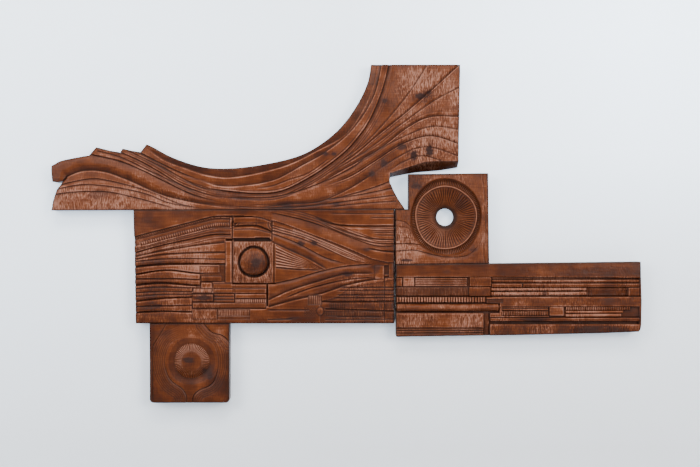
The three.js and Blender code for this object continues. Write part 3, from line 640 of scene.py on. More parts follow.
def carve_wing(step):
    """The upper board: lapped lobe, rounded finger, stepped tips and long sweeps."""
    r = Relief((-889, 344, 67, 510), step)
    r.h += 1.0 * r.noise(120, 50, 11)
    r.roll(HOLLOW + [(75, 514)], 5, 3)
    r.groove(RIM, 6, 19, 4, (30, 0), 1.0, 0.0, 0.0)
    r.roll(LOBE, 12, 7)
    r.roll(FINGER_TOP, 14, 8)
    r.roll([(-886, 156), (-887, 204)], 7, 4)
    finger_low = [(-842, 171), (-799, 188), (-733, 188), (-658, 163), (-561, 120), (-465, 96), (-321, 75)]
    finger_high = [(-768, 238), (-679, 217), (-615, 191), (-518, 143), (-454, 114), (-364, 92)]
    tip_line = [(-677, 244), (-625, 221), (-559, 184), (-499, 148), (-439, 125), (-380, 108)]
    sweep = [(-439, 161), (-379, 144), (-304, 146), (-214, 163), (-133, 206), (-64, 245), (17, 313),
             (80, 410), (107, 514)]
    dark_sweep = [(-427, 137), (-349, 127), (-274, 121), (-199, 127), (-124, 161), (-49, 209), (11, 260),
                  (71, 341), (110, 435), (130, 514)]
    # Each line, its depth, its slope above and below, its fade at the ends, and the dark of its cut,
    # staining and painted shade
    for points, deep, up, down, ends, stain in (
        ([(-876, 118), (-818, 125), (-722, 126), (-649, 112), (-565, 90), (-502, 71)],
         4.5, 2.6, 12, (0, 60), 0.9),
        ([(-868, 135), (-793, 147), (-712, 142), (-600, 119), (-540, 95), (-439, 74)],
         4.5, 2.6, 11, (0, 60), 0.9),
        ([(-864, 145), (-812, 158), (-754, 165), (-690, 154), (-587, 125), (-499, 89), (-427, 75)],
         4.5, 2.6, 10, (0, 60), 0.9),
        (finger_low, 8, 24, 4, (0, 160), 0.95),
        (finger_high, 6.5, 4, 22, (0, 120), 1.0),
        ([(-748, 249), (-679, 230), (-608, 197), (-529, 160), (-439, 118)], 4.5, 2.6, 8, (0, 40), 0.9),
        (tip_line, 5.5, 2.6, 8, (0, 60), 0.95),
        ([(-658, 250), (-574, 210), (-499, 170), (-439, 140), (-390, 130)], 4, 2.6, 6, (0, 40), 0.85),
        ([(-617, 242), (-559, 212), (-499, 184), (-439, 161)], 5.5, 2.6, 7, (0, 60), 0.95),
        (sweep, 6, 34, 2.6, (60, 0), 0.8),
        (dark_sweep, 7, 4, 12, (60, 0), 1.0),
        ([(-274, 137), (-223, 143), (-175, 161), (-118, 180), (-49, 227)], 3.5, 5, 2.6, (30, 30), 0.6),
        ([(-364, 110), (-289, 107), (-214, 112), (-154, 125), (-94, 146), (-34, 172), (26, 204), (77, 251)],
         4.5, 2.6, 8, (40, 40), 0.9),
        ([(-253, 80), (-169, 89), (-79, 97), (-19, 122), (26, 146), (77, 178)], 6, 20, 3, (40, 20), 1.0),
        ([(-300, 84), (-187, 92), (-79, 105), (-19, 127), (26, 148)], 2, 2.6, 2.6, (40, 30), 0.5),
        ([(-430, 98), (-350, 84), (-253, 79), (-150, 80), (-40, 92)], 3, 2.6, 5, (60, 40), 0.6),
        ([(-28, 107), (71, 135), (134, 158)], 4, 2.6, 9, (30, 0), 0.9),
        ([(-79, 100), (56, 120), (138, 137)], 4, 2.6, 8, (30, 0), 0.9),
        ([(-79, 86), (26, 101), (156, 117)], 4, 2.6, 7, (30, 0), 0.9),
        ([(-49, 80), (37, 90), (150, 98)], 3, 2.6, 5, (30, 0), 0.8),
    ):
        r.groove(points, deep, up, down, ends, 1.5, stain)
    r.reeds(tip_line, (-13, -7, 7, 13, 19), 2.2, 2.2, (60, 60), 0.75)
    r.reeds(dark_sweep, (-7, -13, -19, 7), 2.2, 2.4, (180, 300), 0.75)
    m_high = [(-214, 112), (-154, 125), (-94, 146), (-34, 172), (26, 204)]
    m_low = [(-253, 80), (-169, 89), (-79, 97), (-19, 122), (26, 146)]
    # Painted light and shade: bands that make strips paler or darker as light falls on them.
    r.band(HOLLOW, RIM, -0.75)
    r.band(RIM, lowered(RIM, 5), 0.55)
    r.band(lowered(RIM, 5), sweep, -0.25)
    r.band(sweep[:7], dark_sweep[:8], 0.35)
    r.band(dark_sweep[:6], lowered(dark_sweep[:6], 22), -0.7)
    r.band(m_high, m_low, 0.35)
    r.band(m_low, lowered(m_low, 13), -0.8)
    r.band(finger_high, lowered(finger_high, 8), 0.25)
    r.band(lowered(finger_low, -14), finger_low, -0.5)
    flights = (
        [(-64, 190), (-28, 212), (56, 272), (131, 352), (191, 427), (247, 514)],
        [(-49, 187), (26, 238), (90, 292), (176, 362), (257, 433), (346, 514)],
        [(-49, 180), (71, 257), (176, 337), (266, 401), (346, 443)],
        [(-94, 143), (-28, 182), (99, 255), (191, 324), (251, 351), (346, 352)],
        [(26, 203), (101, 254), (187, 298), (257, 322), (346, 312)],
        [(-64, 143), (15, 174), (90, 221), (165, 268), (251, 294), (346, 268)],
        [(77, 179), (146, 224), (206, 255), (251, 260), (346, 230)],
        [(116, 179), (176, 218), (230, 234), (285, 219)],
    )
    for k, flight in enumerate(flights):
        strong = k in (1, 3, 5)
        r.groove(flight, 3.2 + 1.8 * strong, 7 + 2 * strong, 2.6, (80, 0), 1.5, 0.8 + 0.15 * strong)
    r.reeds(flights[3], (-6, 6, 13), 1.8, 2.2, (60, 330), 0.55)
    r.reeds(flights[5], (-6, 7), 1.8, 2.2, (60, 300), 0.55)
    r.reeds(flights[1], (-6,), 1.8, 2.2, (60, 330), 0.55)
    under_bevel(r)
    lobe = soft((-430 - r.x) / 90) * soft((150 - r.z) / 30)
    wing = soft((r.x - 120) / 90)
    r.ripple(0.35 + 1.0 * np.maximum(lobe, wing), 6.4, 0.7, 0.12, 21)
    r.patches(((-740, 105, 160, 50, 0.2), (-560, 85, 110, 20, 0.5), (240, 380, 120, 90, -0.1),
               (220, 225, 90, 30, 0.1), (-420, 215, 160, 24, -0.7), (-100, 240, 70, 30, -0.3),
               (60, 120, 80, 30, 0.4), (-120, 88, 90, 12, -0.9), (-380, 230, 60, 12, -0.5)))
    r.knots(((-181, 86, 10, 6, 0.8), (-64, 240, 9, 5, 1), (-38, 240, 8, 5, 1), (115, 400, 9, 6, 0.9),
             (224, 414, 15, 9, 1), (248, 425, 8, 6, 0.9), (165, 262, 12, 9, 0.9), (112, 212, 8, 12, 1),
             (77, 179, 9, 8, 1), (203, 236, 10, 13, 1), (250, 249, 10, 14, 1), (-30, 90, 9, 5, 0.8),
             (-745, 118, 24, 13, 0.45)))
    return r


def under_bevel(r):
    """The right wing's cut-back underside, roughly chopped."""
    face = smooth(UNDER_FACE)[::-1]
    edge = smooth(UNDER_EDGE)[::-1]
    top = np.interp(r.x, face[:, 0], face[:, 1])
    foot = np.interp(r.x, edge[:, 0], edge[:, 1])
    t = (top - r.z) / np.maximum(top - foot, 1)
    on = (r.x > 131) & (t > 0) & (r.z > 150)
    chop = 1.6 * r.noise(11, 9, 31)
    r.h = np.where(on, FACE - (FACE - 11) * np.clip(t, 0, 1.15) + chop, r.h)
    r.cut = np.where(on, 0, r.cut)
    r.stain = np.where(on, 0.7, r.stain)


def centre_outline():
    """The centre board's four corners."""
    return [(-633, -270), (144, -270), (144, level_at(WING_FOOT, 144)), (-639, level_at(WING_FOOT, -639))]


CREST = [(-645, -11), (-559, 11), (-469, 34), (-394, 52), (-270, 51), (-199, 34), (-109, 0), (-19, -34),
         (77, -75)]
LAP = [(-645, -60), (-559, -36), (-469, -17), (-403, -3), (-348, -2)]
LID_LOW = [(-223, -25), (-169, -50), (-109, -77), (-57, -108)]
CHEVRON_HIGH = [(-233, -152), (-169, -140), (-79, -114), (-4, -98), (80, -92)]
CHEVRON_MID = [(-234, -199), (-169, -170), (-79, -142), (-4, -122), (80, -119)]
CHEVRON_LOW = [(-233, -220), (-169, -202), (-79, -181), (11, -152), (150, -127)]


def carve_centre(step):
    """The centre board: the eye, its lids and brow, the stepped laps and the stripwork."""
    r = Relief((-641, 146, -272, 76), step, FULL - 1)
    below = [*smooth(CREST), (150, -92), (150, -280), (-650, -280), (-650, -11)]
    r.field(below, FACE - 3)
    r.field([*smooth(CREST[4:]), (90, -60), (150, -58), (150, 80), (-270, 80)], FULL - 1)
    r.field([*smooth([(-645, -15), (-559, 7), (-469, 30), (-394, 48), (-350, 48)]), (-350, 18), (-403, 16),
             (-469, 4), (-559, -17), (-645, -40)], LOW)
    left_laps(r)
    blocks_and_ground(r)
    eye(r)
    lids_and_brow(r)
    lower_right(r)
    left = soft((-343 - r.x) / 60) * soft((0 - r.z) / 40)
    right = soft((r.x + 40) / 60) * soft((-90 - r.z) / 60)
    r.ripple(0.2 + 0.7 * np.maximum(left, right), 6.2, 0.55, 0.05, 51)
    r.patches(((-600, -160, 70, 100, -1.1), (-420, -60, 70, 60, 0.2), (-560, -70, 90, 12, 0.3),
               (-600, 40, 60, 20, -0.2), (-330, -240, 120, 20, 0.35), (-300, 42, 40, 9, 0.3),
               (60, -220, 130, 70, -1.3), (-160, -125, 50, 16, 0.3), (100, -110, 24, 20, 0.5),
               (-60, -10, 120, 40, 0.5), (90, 20, 90, 60, 0.5), (-150, -240, 120, 34, -0.4),
               (-420, -190, 60, 14, -0.6)))
    r.knots(((-568, -217, 14, 5, 0.9), (-432, -192, 22, 7, 0.9), (-136, -30, 9, 7, 1),
             (-96, -28, 8, 7, 1), (2, -122, 15, 6, 1), (-160, -254, 20, 4, 0.8), (90, -105, 10, 12, 0.7),
             (-272, -87, 12, 12, 0.95), (60, -48, 9, 5, 0.6), (-600, 40, 16, 6, 0.3)))
    return r


def left_laps(r):
    """The lapped strips at the left, each ending in a step."""
    groove = r.groove
    crest = CREST[:4] + [(-345, 51.5)]
    groove(crest, 5, 2, 6, (0, 0), 1.2, 1.0)
    r.reeds(crest, (-9, -36), 2.6, 2.4, (0, 0))
    r.beads(crest, -25, 13, 7.2, LOW - 1.5, 4.5, (20, 2))
    groove(LAP, 7, 3, 12, (0, 0), 1.3, 1.0)
    r.reeds(LAP, (6, -7, -13), 2.4, 2.4, (0, 0))
    # Painted light on the strip under the crest, and painted shade on the strip just above the lower lapped
    # line.
    r.band(crest, lowered(crest, 9), 0.6)
    r.band(lowered(crest, 36), LAP, -0.5)
    above = LAP
    # Each step's lower line, its depth, its slope above and below, and its tone: painted light on the strip
    # above the line where positive, painted shade where negative
    for line, deep, up, down, tone in (
        ([(-645, -70), (-529, -48), (-439, -34), (-366, -26)], 5, 9, 2.6, 0.5),
        ([(-645, -79), (-559, -64), (-469, -58), (-362, -56)], 5, 5, 5, 0.3),
        ([(-645, -84), (-529, -75), (-362, -77)], 3.5, 2.6, 4, 0.1),
        ([(-645, -102), (-559, -94), (-469, -92), (-362, -93)], 8, 7, 3, -0.4),
        ([(-645, -125), (-544, -110), (-451, -119), (-380, -121)], 9, 4, 4, 0.6),
        ([(-645, -136), (-529, -135), (-440, -138)], 5, 3, 5, 0.4),
        ([(-645, -157), (-559, -150), (-440, -158)], 8, 7, 3, -0.5),
        ([(-645, -166), (-559, -161), (-463, -163)], 3.5, 2.6, 3, -0.2),
        ([(-645, -178), (-559, -174), (-463, -175)], 3.5, 2.6, 3, -0.4),
        ([(-645, -190), (-559, -183), (-463, -182)], 3, 2.6, 3, -0.3),
        ([(-645, -205), (-559, -195), (-463, -191)], 7, 4, 4, -0.7),
        ([(-645, -219), (-463, -215)], 5, 3, 4, 0.35),
        ([(-645, -239), (-559, -234), (-464, -236)], 7, 5, 3, -0.1),
        ([(-645, -268), (-464, -268)], 0.5, 2.6, 2.6, -0.3),
    ):
        groove(line, deep, up, down, (0, 0), 1.2, 0.95)
        r.band(above, line, tone, 0.8)
        above = line


def blocks_and_ground(r):
    """The ground right of the steps, the post, and the blocks that stand on the ground."""
    r.field([(-364, -21), (-343, -21), (-343, -14), (-362, -14)], BED, 0.6)
    r.field([(-382, -94), (-364, -94), (-364, -146), (-403, -146), (-403, -175), (-465, -175), (-465, -160),
             (-442, -160), (-442, -122), (-382, -116)], LOW, 0.12)
    r.field([(-465, -227), (-241, -227), (-241, -178), (-465, -178)], LOW, 0.05)
    # Each block's sides, its height and its tilt
    for left, right, low, high, height, tilt in (
        (-436, -404, -174, -147, FACE - 2, 2),
        (-399, -341, -176, -150, FACE - 2, 1),
        (-436, -375, -143, -128, FACE - 4, 2),
        (-463, -401, -203, -183, FACE - 3, 2),
        (-460, -405, -177, -165, FACE - 4, -2),
        (-398, -337, -206, -181, FACE - 4, 1),
        (-440, -385, -118, -98, FACE - 5, 1),
        (-462, -242, -223, -209, FACE - 3, 3),
        (-334, -241, -208, -197, FACE - 4, 0),
        (-334, -241, -194, -181, FACE - 3, 1),
        (-334, -241, -179, -166, FACE - 2, 2),
        (-334, -241, -164, -153, FACE - 3, 2),
        (-363, -344, -147, -22, FACE - 1, 0),
        (-463, -390, -256, -229, FACE - 1, 0),
    ):
        r.block(left, right, low, high, height, tilt)
    r.teeth(-334, -241, -209, -196, 5.8, 3.6, 0.3, 61)
    for z in (-165, -189, -198):
        r.groove([(-399, z), (-339, z)], 3, 2.6, 2.6, (0, 0))
    r.block(-388, -290, -248, -229, FACE - 4, 1)
    r.block(-388, -290, -257, -250, FACE - 4, 0, edge=0.4)
    r.teeth(-388, -290, -247, -229, 4.8, 3.0, 0.5, 63, 0.7)
    r.groove([(-343, -148), (-343, 54)], 6, 2.6, 2.6, (0, 0), 1.0, 0.95)


BOSS = (-279.0, -85.0)  # the middle of the eye's boss


def eye(r):
    """The sunk square, its boss, and the reeded fan beside it."""
    # A deep slot under the lid, painted dark as its shadow.
    r.field([(-341, -14), (-300, -13), (-232, -11), (-223, -24), (-339, -24)], BED, 0.8)
    r.groove([(-342, -150), (-211, -150)], 12, 2.6, 3.2, (0, 0), 0.8, 1.0)
    square = r.field([(-339, -148), (-223, -148), (-223, -23), (-339, -23)], LOW, 0.0)
    r.h += square * 2.0 * np.clip((np.abs(r.x - BOSS[0]) - 40) / 18, 0, 1)
    r.tool += 1.2 * square
    r.tone += square * (0.1 - 0.5 * soft((r.x + 300 - (r.z + 60)) / 90))
    dx = r.x - BOSS[0]
    dz = r.z - BOSS[1]
    angle = np.arctan2(dz, dx)
    d = np.hypot(dx, dz) * (1 + 0.015 * np.sin(3 * angle))
    ring = np.clip(1 - np.abs(d - 44) / 6.5, 0, 1)
    r.h -= 9 * ring
    shadow = 0.85 + 0.15 * np.sin(angle + 2.5)
    r.darken(d < 56, np.clip(ring * 1.5 * shadow, 0, 1)[d < 56])
    radius = 40.5
    foot = LOW - 4
    dome = d < radius
    top = foot + (FULL + 0.5 - foot) * np.sqrt(np.clip(1 - (d / radius) ** 2, 0, 1))
    r.h = np.where(dome, top, r.h)
    r.cut = np.where(dome, 0, r.cut)
    r.stain = np.where(d < 37.5, 0, r.stain)
    r.tool = np.where(dome, 0.5, r.tool)
    # The dome darker, with painted shade towards its lower right.
    r.tone += dome * (-0.25 - 0.6 * soft((dx - dz + 30) / 60))
    edge = np.minimum(np.abs(r.x + 339), np.abs(r.x + 223))
    edge = np.minimum(edge, np.minimum(np.abs(r.z + 148), np.abs(r.z + 23)))
    r.darken(square, np.clip(1.3 - edge / LINE, 0, 0.85)[square])
    r.groove([(-217.5, -148), (-217.5, -30)], 5, 3.5, 3.5, (0, 0), 1.0, 0.6)
    lid = [p for p in smooth(LID_LOW) if p[0] > -212]
    chevron = [p for p in smooth(CHEVRON_HIGH)[::-1] if -211 < p[0] < -79]
    eye_floor = [(-211, -32), *lid, (-57, -110), (-79, -113), *chevron, (-211, -150)]
    r.field(eye_floor, FACE - 3)
    r.fan([(-211, -36), (-169, -57), (-109, -85), (-66, -107)], [(-211, -101), (-150, -106), (-66, -109)],
          7, LOW + 1, 6.0, 0.95)
    r.groove([(-211, -102), (-150, -107), (-80, -110)], 4, 2.6, 3, (0, 10))


def lids_and_brow(r):
    """The lids and the plain brow that sweep over the eye, and the chevron under it."""
    groove = r.groove
    r.block(-338, -226, 33, 50, FACE + 1, 2, edge=0.3)
    groove([(-338, 50), (-272, 50), (-244, 44), (-226, 36)], 3.5, 2.6, 4, (0, 0), 1.3, 0.8)
    groove([(-271, 47), (-271, 26)], 2.5, 2.6, 2.6, (4, 0), 1.3, 0.5)
    groove([(-338, 22), (-271, 24), (-244, 15), (-223, 5)], 8, 4, 7, (0, 0), 1.2, 1.0)
    groove([(-338, 13), (-271, 13), (-223, 1)], 3.5, 2.6, 2.6, (0, 0))
    groove([(-223.5, -24), (-223.5, 38)], 6, 2.6, 2.6, (0, 0), 1.0, 0.95)
    lid_top = [(-222, 31), (-139, 7), (-34, -35), (76, -84)]
    lid_foot = [(-160, 2), (-120, -13), (-64, -42), (10, -76), (76, -90)]
    r.fan([(-160, 14), *lid_top[1:]], lid_foot, 4, FACE - 4, 4.5, 0.95)
    r.reeds(lid_top, (-6, -13, -20), 3.2, 2.6, (0, 220), 0.9)
    groove([(-222, 8), (-160, -8), (-100, -30)], 3, 2.6, 6, (0, 60), 1.3, 0.8)
    # Painted light on the strip under the top line of the lid.
    r.band(lid_top, [(-222, 1), (-151, -25), (-64, -70), (0, -88)], 0.25)
    groove([(-222, 0), (-151, -27), (-64, -72), (0, -91)], 4, 2.6, 8, (0, 40), 1.4, 0.9)
    groove(LID_LOW, 5, 10, 3, (0, 20), 1.4, 1.0)
    groove(CHEVRON_HIGH, 5, 3, 10, (6, 20), 1.5, 1.0)
    groove(CHEVRON_MID, 7, 17, 3, (0, 20), 1.6, 1.0)
    groove([(-184, -193), (-124, -169), (-64, -152), (-4, -139), (80, -131)], 5, 3, 5, (20, 20))
    groove(CHEVRON_LOW, 7, 12, 3, (0, 0), 1.5, 1.0)
    groove([(-237.5, -152), (-237.5, -219)], 12, 3.4, 3.4, (0, 0), 0.8, 1.0)
    brow = [(-226, 63), (-139, 44), (-64, 20), (26, -16), (95, -37), (150, -36)]
    groove(brow, 5, 3, 22, (30, 0), 1.4, 0.95)
    r.reeds(brow, (7, 14, 20), 2.6, 2.4, (120, 0))
    groove([(-94, 49), (-49, 32), (-4, 25), (150, 23)], 7, 3, 8, (20, 0), 1.2, 1.0)
    groove([(-79, 38), (-19, 12), (65, -13), (150, -18)], 5, 3, 5, (20, 0))
    groove([(-79, 32), (-19, 5), (71, -25), (150, -32)], 5, 3, 5, (20, 0))
    groove([(60, -44), (112, -53), (150, -56)], 7, 10, 3, (20, 0), 1.3, 1.0)
    for z in (61, 17, 9, 4, -4):
        groove([(-49 if z == 61 else 60 + (17 - z), z), (150, z - 1)], 3, 2.6, 2.6, (20, 0))
    groove([(70, 49), (150, 48)], 3, 2.6, 2.6, (10, 0))


def lower_right(r):
    """The lines, combs and small blocks under the chevron."""
    ground = [(-80, -203), (-30, -192), (11, -160), (150, -136), (150, -280), (-80, -280)]
    r.field(ground, FACE - 6)
    r.block(86, 113, -136, -96, FACE - 2, 1)
    r.field([(113, -124), (128, -124), (128, -94), (113, -94)], LOW, 0.55)
    r.block(128, 141, -131, -86, FACE - 2, 0)
    for z, left in ((-161, -19), (-170, -28), (-184, -31), (-192, -40)):
        r.groove([(left, z), (150, z)], 4.5, 2.6, 5.5, (12, 0))
    r.groove([(-76, -203), (-19, -204), (150, -203)], 6, 3, 7, (0, 0), 1.2, 1.0)
    r.groove([(-64, -226), (150, -233)], 6, 3, 5, (0, 0), 1.2, 1.0)
    r.block(-115, -74, -214, -186, LOW + 3, 0)
    r.teeth(-115, -74, -214, -186, 5.6, 3.0, 0.5, 81)
    r.block(-64, 113, -247, -234, LOW + 3, 0)
    r.teeth(-64, 113, -247, -234, 4.9, 2.8, 0.5, 83)
    r.block(-49, -4, -223, -208, LOW + 4, 0)
    r.teeth(-49, -4, -223, -208, 5.2, 2.6, 0.5, 85)
    r.groove([(-235, -229), (-110, -229)], 4, 3, 4, (6, 6))
    r.groove([(-238, -258), (-160, -257)], 4, 3, 3, (0, 10))
    r.groove([(-28, -250), (113, -251)], 4, 3, 3, (0, 10))
    r.groove([(-64, -258), (150, -257)], 4, 3, 3, (0, 0))
    r.groove([(115, -268), (115, -136)], 3.5, 2.6, 2.6, (0, 0))
    cross = (r.x > -126) & (r.x < -91) & (r.z > -247) & (r.z < -221)
    lattice = np.maximum(np.abs(np.sin((r.x + r.z) * 0.42)), np.abs(np.sin((r.x - r.z) * 0.42)))
    r.cut += cross * 2.4 * np.clip(lattice - 0.9, 0, 1) * 10 * 0.5
    r.stain = np.where(cross, np.clip((lattice - 0.88) * 6, 0, 0.8), r.stain)
    oval = np.hypot((r.x + 79) / 10, (r.z + 233) / 12)
    r.h = np.where(oval < 1, FACE - 1 - 3 * oval**4, r.h)
    r.cut = np.where(oval < 1, 0, r.cut)
    r.stain = np.where(oval < 1.25, np.clip((oval - 0.85) * 4, 0, 1) * 0.8, r.stain)


ROUND = (299.0, 49.0)  # the middle of the pierced disc
HOLE = 26  # the radius of its hole


def rosette_outline():
    """The rosette board's outline, with the foot at its left."""
    return [(147, level_at(PLANK_TOP, 147)), (428.9, level_at(PLANK_TOP, 428.9)), (426, 182), (186, 179),
            (186, level_at(WING_FOOT, 186)), (147, level_at(WING_FOOT, 147))]


def carve_rosette(step):
    """The rosette board: a pierced dish of flutes in a ring, and flow lines round it."""
    r = Relief((145, 431, -95, 184), step)
    for points, deep, down in (
        ([(140, 41), (176, 35), (197, 15), (221, -15), (251, -41)], 4, 12),
        ([(140, 23), (179, 19), (197, 7), (218, -20)], 4, 8),
        ([(140, 9), (185, 6), (204, -6)], 3.5, 4),
        ([(140, 3), (188, 1), (208, -12)], 3.5, 4),
        ([(140, -14), (191, -14), (217, -25)], 6, 8),
        ([(140, -31), (206, -31), (245, -41), (284, -56), (325, -66)], 5, 9),
        ([(140, -53), (206, -50), (251, -61), (299, -70), (365, -64), (403, -25), (412, 30)], 4, 9),
    ):
        r.groove(points, deep, 2.6, down, (0, 200), 1.4, 0.7)
    r.groove([(407, 186), (415, 116), (418, 26), (413, -49), (416, -97)], 2, 5, 3, (0, 0), 1.3, 0.25)
    dx = r.x - ROUND[0]
    dz = r.z - ROUND[1]
    angle = np.arctan2(dz, dx)
    wobble = 1 + 0.012 * np.sin(3 * angle + 1) + 0.008 * np.sin(5 * angle)
    inner = np.hypot(dx, dz / 1.03) / wobble
    outer = np.hypot(dx / 107, dz / 117) / (1 + 0.01 * np.sin(4 * angle))
    rim = 91.0
    cove = (inner - rim) / np.maximum((inner / np.maximum(outer, 0.01)) - rim, 1)
    flute = np.abs(np.sin(angle * 60 + 0.5 * np.sin(9 * angle)))
    outer_h = 38 - 4 * np.sin(np.pi * np.clip(cove, 0, 1)) + 4 * soft((cove - 0.8) / 0.2)
    outer_h -= 3.4 * (1 - flute) * soft((cove - 0.05) / 0.2) * soft((0.9 - cove) / 0.3)
    share = np.clip((inner - HOLE) / (rim - HOLE), 0, 1)
    dish = 21 + 16.5 * share**0.75
    lines = 34
    sway = 0.35 * noise(angle * 40 + 200, inner * 0, 9, 9, 91)
    sway += 0.2 * noise(angle * 60, inner, 9, 60, 92)
    line = np.abs(np.sin(angle * lines + sway * 2.2))
    dish -= 4.0 * (1 - line) ** 1.4 * soft(share / 0.1) * soft((1.0 - share) / 0.22)
    fine_line = np.abs(np.sin(angle * lines * 2 + 1 + sway * 3))
    dish -= 1.6 * (1 - fine_line) ** 1.6 * soft((share - 0.45) / 0.25)
    crest = np.clip(1 - np.abs(inner - rim) / 2.8, 0, 1)
    inside = inner < rim
    round_h = np.where(inside, dish, outer_h) + 3.4 * crest
    on = outer < 1.0
    r.h = np.where(on, round_h, r.h)
    r.cut = np.where(on, 0, r.cut)
    dark_in = 1.1 * (1 - line) ** 1.5 * soft((1.05 - share) / 0.3) + 0.85 * soft((0.2 - share) / 0.18)
    dark_out = 1.1 * (1 - flute) ** 0.8 * soft((0.95 - cove) / 0.3)
    # Painted shade on the outer moat above the middle, where it faces down.
    dark_out += 0.3 * soft((cove - 0.6) / 0.4) * soft(dz / 60)
    dark = np.where(inside, dark_in, dark_out) * (1 - crest)
    dark = np.maximum(dark, 0.45 * np.clip(1 - np.abs(inner - rim + 4.5) / 2.5, 0, 1))
    dark = np.maximum(dark, np.clip(1 - np.abs(outer - 1) / 0.02, 0, 1))
    r.stain = np.where(on, np.clip(dark, 0, 1), r.stain)
    # Painted light: the ridges of the flutes paler towards the lower left, and a painted highlight along
    # the crest of the ring.
    lit = 0.3 + 0.7 * soft((-dx - dz + 30) / 150)
    ridge_tone = np.where(inside, 1.4 * (line - 0.35) * lit, 0.9 * (flute - 0.2) * lit)
    r.tone = np.where(on, r.tone * 0.5 + ridge_tone + 1.8 * crest, r.tone)
    # Painted shade in the bottom of the dish, round the hole.
    r.tone -= on * 0.5 * soft((0.3 - share) / 0.3)
    low_left = soft((250 - r.x) / 60) * soft((40 - r.z) / 40)
    r.ripple((0.8 + 0.8 * low_left) * (outer > 1.02), 6.0, 0.6, 0.05, 95)
    r.patches(((170, -60, 70, 34, 1.1), (410, -40, 20, 60, 0.3), (210, 160, 24, 20, -0.6),
               (345, 95, 36, 22, -0.4), (415, 120, 12, 60, 0.5), (300, -82, 90, 8, 0.3)))
    r.knots(((341, 89, 10, 10, 0.5), (209, 141, 14, 8, 0.8), (182, -80, 16, 4, 0.9),
             (380, -49, 10, 6, 0.7)))
    return r


def plank_outline():
    """The long plank's outline; its lower corners are rounded."""
    return [PLANK_TOP[0], PLANK_TOP[1], (887, -200), (886, -271), (885, -282), (882, -290), (877, -294.5),
            (760, -299), (490, -305), (151, -310), (149, -307)]


